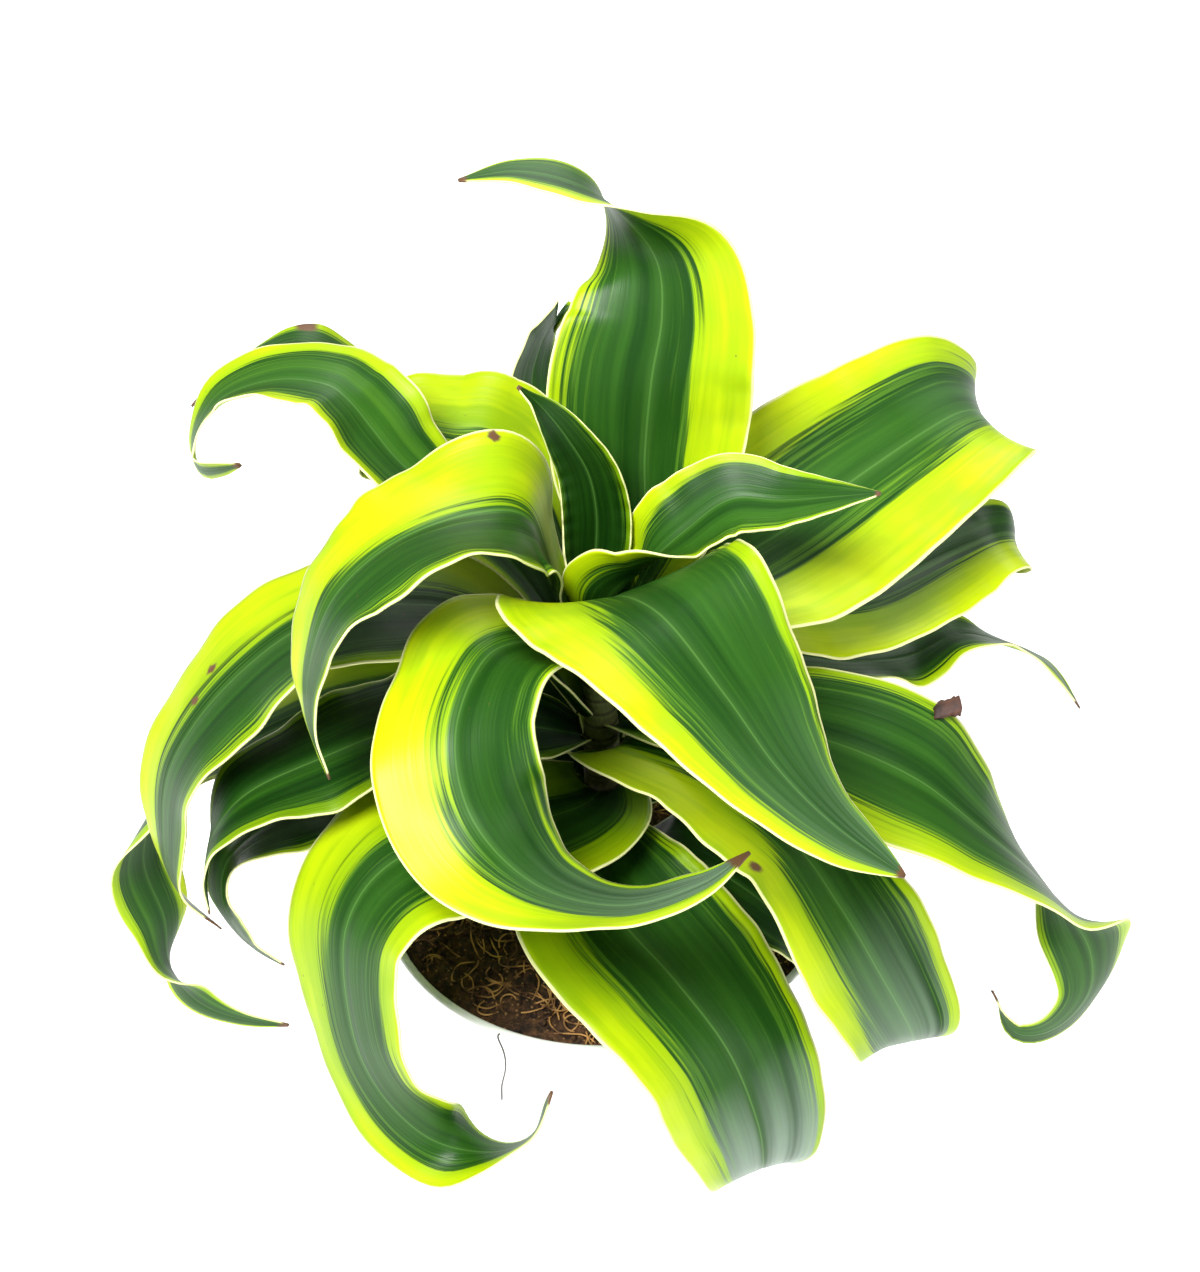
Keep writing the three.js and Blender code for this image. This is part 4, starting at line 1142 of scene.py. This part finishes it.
@dataclass
class Soil:
    """The peat that fills the pot, with bark crumbs and coir threads on top."""

    sizes: PlantSizes
    around: int = 128
    rings: int = 40
    roughness: float = 2.2
    margin: float = 0.01
    edge_fade: float = 4.0
    stem_fade: float = 3.0
    big_lumps: float = 0.12
    small_lumps: float = 0.55
    small_share: float = 0.7
    lump_layers: Span = (3.0, 9.0)
    crumbs: int = 420
    crumb_sizes: Tuple[float, ...] = (1.0, 1.3, 1.8, 2.6, 3.6)
    crumb_rise: float = 0.2
    crumb_seed: int = 11
    crumb_border: float = 4.0
    crumb_spread: Span = (0.04, 1.0)
    crumb_turn: Span = (0.0, 3.0)
    crumb_breadth: Span = (0.5, 1.0)
    crumb_height: Span = (0.35, 0.7)
    crumb_dents: Span = (0.75, 1.15)
    threads: int = 430
    thread_radius: float = 0.3
    thread_step: float = 2.1
    thread_curl: float = 0.45
    thread_seed: int = 5
    thread_border: float = 3.0
    thread_spread: Span = (0.03, 0.95)
    thread_bend: Span = (-0.5, 0.5)
    thread_hop: Span = (0.4, 2.6)
    thread_points: Tuple[int, int] = (6, 11)
    thread_least: int = 4
    thread_facets: int = 1
    thread_smoothness: int = 3
    thread_order: int = 4
    thread_lift: float = 0.3
    strand_finish: FibreFinish = FibreFinish("strand_fibre", (0.06, 0.045, 0.04), (0.015, 0.01, 0.008))

    def build(self) -> None:
        """Models and dresses the bed of peat, the crumbs, the threads and the strand over the rim."""
        peat = SoilFinish().build()
        fibre = FibreFinish().build()
        bed = self._bed()
        Workshop.dress(bed, Slot.SOIL, peat)
        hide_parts("soil")
        Workshop.dress(self._crumbs(), Slot.SOIL, peat)
        Workshop.dress(self._threads(), Slot.SOIL, fibre)
        Workshop.dress(self._strand(), Slot.SOIL, self.strand_finish.build())

    def _inner_radius(self, z: float) -> float:
        """Returns the soil's radius at height z, inside the pot's wall."""
        return self.sizes.pot_radius(z) - self.sizes.pot_wall - self.sizes.fit_gap

    def surface(self, x: float, y: float) -> float:
        """Returns the height of the peat in mm at a place, before its lumps."""
        reach = min(math.hypot(x, y) / self._inner_radius(self.sizes.soil_top), 1.0)
        return self.sizes.soil_top + self.sizes.soil_crown * (1 - reach**2)

    def _bed(self) -> Piece:
        """Models the filling of the pot: smooth below, lumpy on top, open round the stem."""
        sizes = self.sizes
        hole = sizes.stem_foot_radius + sizes.fit_gap
        edge = self._inner_radius(sizes.soil_top)
        bottom = sizes.pot_floor + sizes.fit_gap
        profile: Profile = [(0.0, bottom), (self._inner_radius(bottom), bottom), (edge, sizes.soil_top)]
        for i in range(1, self.rings):
            radius = edge + (hole - edge) * i / self.rings
            profile.append((radius, self.surface(radius, 0.0)))
        under_stem = sizes.stem_root - sizes.fit_gap
        profile += [(hole, self.surface(hole, 0.0)), (hole, under_stem), (0.0, under_stem)]
        bed = Workshop.turned("soil_bed", profile, self.around)
        self._roughen(bed, edge, hole)
        Workshop.smooth(bed)
        return bed

    def _roughen(self, bed: Piece, edge: float, hole: float) -> None:
        """Lifts and drops the top of the bed into lumps, less so at its edges."""
        for vertex in bed.data.vertices:
            x, y, z = vertex.co / MM
            radius = math.hypot(x, y)
            if z < self.sizes.soil_top - self.margin or radius < hole + self.margin:
                continue
            fade = min(1.0, (edge - radius) / self.edge_fade, (radius - hole) / self.stem_fade)
            big = noise.noise(Vector((x, y, self.lump_layers[0])) * self.big_lumps)
            small = noise.noise(Vector((x, y, self.lump_layers[1])) * self.small_lumps)
            vertex.co.z += fade * self.roughness * (big + self.small_share * small) * MM

    @staticmethod
    def _scatter(chance: random.Random, limit: float, spread: Span) -> Span:
        """Draws a place on the soil within a radius, evenly over the shares of its area in the spread."""
        angle = chance.uniform(0, 2 * math.pi)
        reach = limit * math.sqrt(chance.uniform(*spread))
        return reach * math.cos(angle), reach * math.sin(angle)

    def _crumbs(self) -> Piece:
        """Scatters bark crumbs over the peat as one piece."""
        chance = random.Random(self.crumb_seed)
        pieces = []
        limit = self._inner_radius(self.sizes.soil_top) - self.crumb_border
        for _ in range(self.crumbs):
            x, y = self._scatter(chance, limit, self.crumb_spread)
            z = self.surface(x, y) + self.crumb_rise
            size = chance.choice(self.crumb_sizes)
            bpy.ops.mesh.primitive_ico_sphere_add(
                subdivisions=1, radius=size * MM, location=(x * MM, y * MM, z * MM),
                rotation=[chance.uniform(*self.crumb_turn) for _ in range(3)])
            crumb = bpy.context.active_object
            crumb.scale = (1.0, chance.uniform(*self.crumb_breadth), chance.uniform(*self.crumb_height))
            for vertex in crumb.data.vertices:
                vertex.co *= chance.uniform(*self.crumb_dents)
            pieces.append(crumb)
        return Workshop.join(pieces, "soil_crumbs")

    def _threads(self) -> Piece:
        """Lays curling coir threads over the peat as one piece."""
        chance = random.Random(self.thread_seed)
        routes = []
        limit = self._inner_radius(self.sizes.soil_top) - self.thread_border
        for _ in range(self.threads):
            x, y = self._scatter(chance, limit, self.thread_spread)
            heading = chance.uniform(0, 2 * math.pi)
            bend = chance.uniform(*self.thread_bend)
            hop = chance.uniform(*self.thread_hop)
            steps = chance.randint(*self.thread_points)
            route = []
            for i in range(steps):
                lift = hop * math.sin(math.pi * i / (steps - 1)) + self.thread_lift
                route.append((x, y, self.surface(x, y) + lift))
                heading += bend + chance.uniform(-self.thread_curl, self.thread_curl)
                x += self.thread_step * math.cos(heading)
                y += self.thread_step * math.sin(heading)
                if math.hypot(x, y) > limit:
                    break
            if len(route) >= self.thread_least:
                routes.append(route)
        return self._tubes("soil_threads", routes)

    def _strand(self) -> Piece:
        """Hangs one loose coir strand over the front of the rim."""
        route = [(-34, -66, 120.5), (-37, -71, 124.5), (-40.5, -75.2, 131.2), (-41, -75.6, 128.5),
                 (-39.5, -74.6, 122), (-39, -73.2, 114), (-39.6, -71, 106), (-41, -67.5, 97),
                 (-42.3, -63.8, 89), (-42.8, -61.4, 82), (-43.2, -59.2, 75)]
        return self._tubes("soil_strand", [route])

    def _tubes(self, name: str, routes: Sequence[Route]) -> Piece:
        """Makes round threads along routes in mm, as one mesh object with the name."""
        curve = bpy.data.curves.new(name, "CURVE")
        curve.dimensions = "3D"
        curve.bevel_depth = self.thread_radius * MM
        curve.bevel_resolution = self.thread_facets
        curve.resolution_u = self.thread_smoothness
        curve.use_fill_caps = True
        for route in routes:
            spline = curve.splines.new("NURBS")
            spline.points.add(len(route) - 1)
            for point, place in zip(spline.points, route):
                point.co = (*(c * MM for c in place), 1.0)
            spline.use_endpoint_u = True
            spline.order_u = self.thread_order
        piece = bpy.data.objects.new(name, curve)
        bpy.context.collection.objects.link(piece)
        Workshop.only(piece)
        bpy.ops.object.convert(target="MESH")
        bpy.ops.object.shade_smooth()
        return bpy.context.active_object


@dataclass
class Pot:
    """The white nursery pot: a tapering wall with a thin rolled lip, a rounded foot and drain holes."""

    sizes: PlantSizes
    around: int = 144
    drain_holes: int = 6
    drain_radius: float = 4.0
    drain_circle: float = 34.0
    drill_sides: int = 32
    drill_length: float = 20.0
    crease_angle: float = 35.0
    foot_steps: int = 5
    lip_steps: int = 8
    lip_flatness: float = 0.6
    lip_bevel: Span = (0.5, 0.1)

    def build(self) -> None:
        """Models and dresses the pot."""
        pot = Workshop.turned("pot_shell", self._profile(), self.around)
        self._drill(pot)
        Workshop.only(pot)
        bpy.ops.object.shade_smooth_by_angle(angle=math.radians(self.crease_angle))
        Workshop.dress(pot, Slot.POT, PlasticFinish().build())
        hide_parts("pot")

    def _profile(self) -> Profile:
        """Returns the pot's outline: its foot, the outside, over the lip and down the inside."""
        s = self.sizes
        lip_foot = s.pot_height - s.lip_height
        outline: Profile = [(0.0, 0.0)]
        for i in range(self.foot_steps + 1):
            angle = math.pi / 2 * i / self.foot_steps
            outline.append((s.pot_foot_radius - s.foot_rounding * (1 - math.sin(angle)),
                            s.foot_rounding * (1 - math.cos(angle))))
        outline.append((s.pot_radius(lip_foot), lip_foot))
        outline.append((s.pot_rim_radius - self.lip_bevel[0], lip_foot + self.lip_bevel[1]))
        half = (s.pot_rim_radius - s.pot_radius(s.pot_height) + s.pot_wall) / 2
        rise = half * self.lip_flatness
        for i in range(self.lip_steps + 1):
            angle = math.pi * i / self.lip_steps
            outline.append((s.pot_rim_radius - half + half * math.cos(angle),
                            s.pot_height - rise + rise * math.sin(angle)))
        inner_floor = s.pot_radius(s.pot_floor) - s.pot_wall
        outline += [(inner_floor, s.pot_floor), (0.0, s.pot_floor)]
        return outline

    def _drill(self, pot: Piece) -> None:
        """Cuts the drain holes through the floor."""
        for i in range(self.drain_holes):
            angle = 2 * math.pi * i / self.drain_holes
            reach = self.drain_circle * MM
            bpy.ops.mesh.primitive_cylinder_add(
                vertices=self.drill_sides, radius=self.drain_radius * MM, depth=self.drill_length * MM,
                location=(reach * math.cos(angle), reach * math.sin(angle), 0))
            drill = bpy.context.active_object
            Workshop.apply_modifier(pot, "BOOLEAN", operation="DIFFERENCE", object=drill, solver="EXACT")
            bpy.data.objects.remove(drill)


@dataclass(frozen=True)
class LightSpec:
    """One soft studio light, aimed at the middle of the plant."""

    name: str
    place: Triple
    size: float
    power: float


@dataclass
class Studio:
    """The camera at the photograph's angle, the pale floor and the soft lights."""

    camera_place: Triple = (0.0012, -0.53208, 0.66321)
    pitch: float = 38.3
    roll: float = -2.8
    lens: float = 56.6
    sensor_width: float = 36.0
    floor_size: float = 12.0
    floor_drop: float = 0.0005
    world_light: float = 0.34
    target: Triple = (0.0, 0.0, 0.2)
    lights: Tuple[LightSpec, ...] = (
        LightSpec("key", (-0.45, -0.75, 1.6), 0.8, 54.0),
        LightSpec("fill", (1.1, -0.9, 0.8), 1.2, 9.0),
        LightSpec("back", (0.3, 1.3, 1.3), 1.2, 12.0),
    )

    def build(self) -> None:
        """Sets up the camera, the floor, the lights and the colours of the picture."""
        self._camera()
        self._floor()
        for light in self.lights:
            self._light(light)
        self._world()
        bpy.context.scene.view_settings.view_transform = "Standard"
        bpy.context.scene.view_settings.look = "None"

    def _camera(self) -> None:
        """Adds the camera and looks through it."""
        pitch = math.radians(self.pitch)
        roll = math.radians(self.roll)
        forward = Vector((0.0, math.cos(pitch), -math.sin(pitch)))
        level_right = Vector((1.0, 0.0, 0.0))
        level_up = Vector((0.0, math.sin(pitch), math.cos(pitch)))
        right = level_right * math.cos(roll) + level_up * math.sin(roll)
        up = right.cross(forward)
        data = bpy.data.cameras.new("view")
        data.sensor_width = self.sensor_width
        data.sensor_fit = "AUTO"
        data.lens = self.lens
        camera = bpy.data.objects.new("view", data)
        bpy.context.collection.objects.link(camera)
        turn = Matrix((right, up, -forward)).transposed().to_4x4()
        camera.matrix_world = Matrix.Translation(self.camera_place) @ turn
        bpy.context.scene.camera = camera

    def _floor(self) -> None:
        """Adds the floor that the pot stands on."""
        bpy.ops.mesh.primitive_plane_add(size=self.floor_size, location=(0, 0, -self.floor_drop))
        floor = bpy.context.active_object
        floor.name = "floor"
        floor.data.materials.append(FloorFinish().build())

    def _light(self, light: LightSpec) -> None:
        """Adds one area light."""
        data = bpy.data.lights.new(light.name, "AREA")
        data.shape = "DISK"
        data.size = light.size
        data.energy = light.power
        lamp = bpy.data.objects.new(light.name, data)
        lamp.location = light.place
        lamp.rotation_euler = (Vector(self.target) - Vector(light.place)).to_track_quat("-Z", "Y").to_euler()
        bpy.context.collection.objects.link(lamp)

    def _world(self) -> None:
        """Lights the scene evenly from all round."""
        world = bpy.data.worlds.new("studio")
        world.use_nodes = True
        background = world.node_tree.nodes["Background"]
        background.inputs["Color"].default_value = (1.0, 1.0, 1.0, 1.0)
        background.inputs["Strength"].default_value = self.world_light
        bpy.context.scene.world = world


def main() -> None:
    """Builds the plant and the studio round it."""
    logging.basicConfig(level=logging.INFO, format="%(name)s %(message)s")
    sizes = PlantSizes()
    Studio().build()
    Pot(sizes).build()
    Soil(sizes).build()
    Stem(sizes).build()
    Foliage(sizes).build()
    DryScrap(sizes).build()


if __name__ == "__main__":
    main()
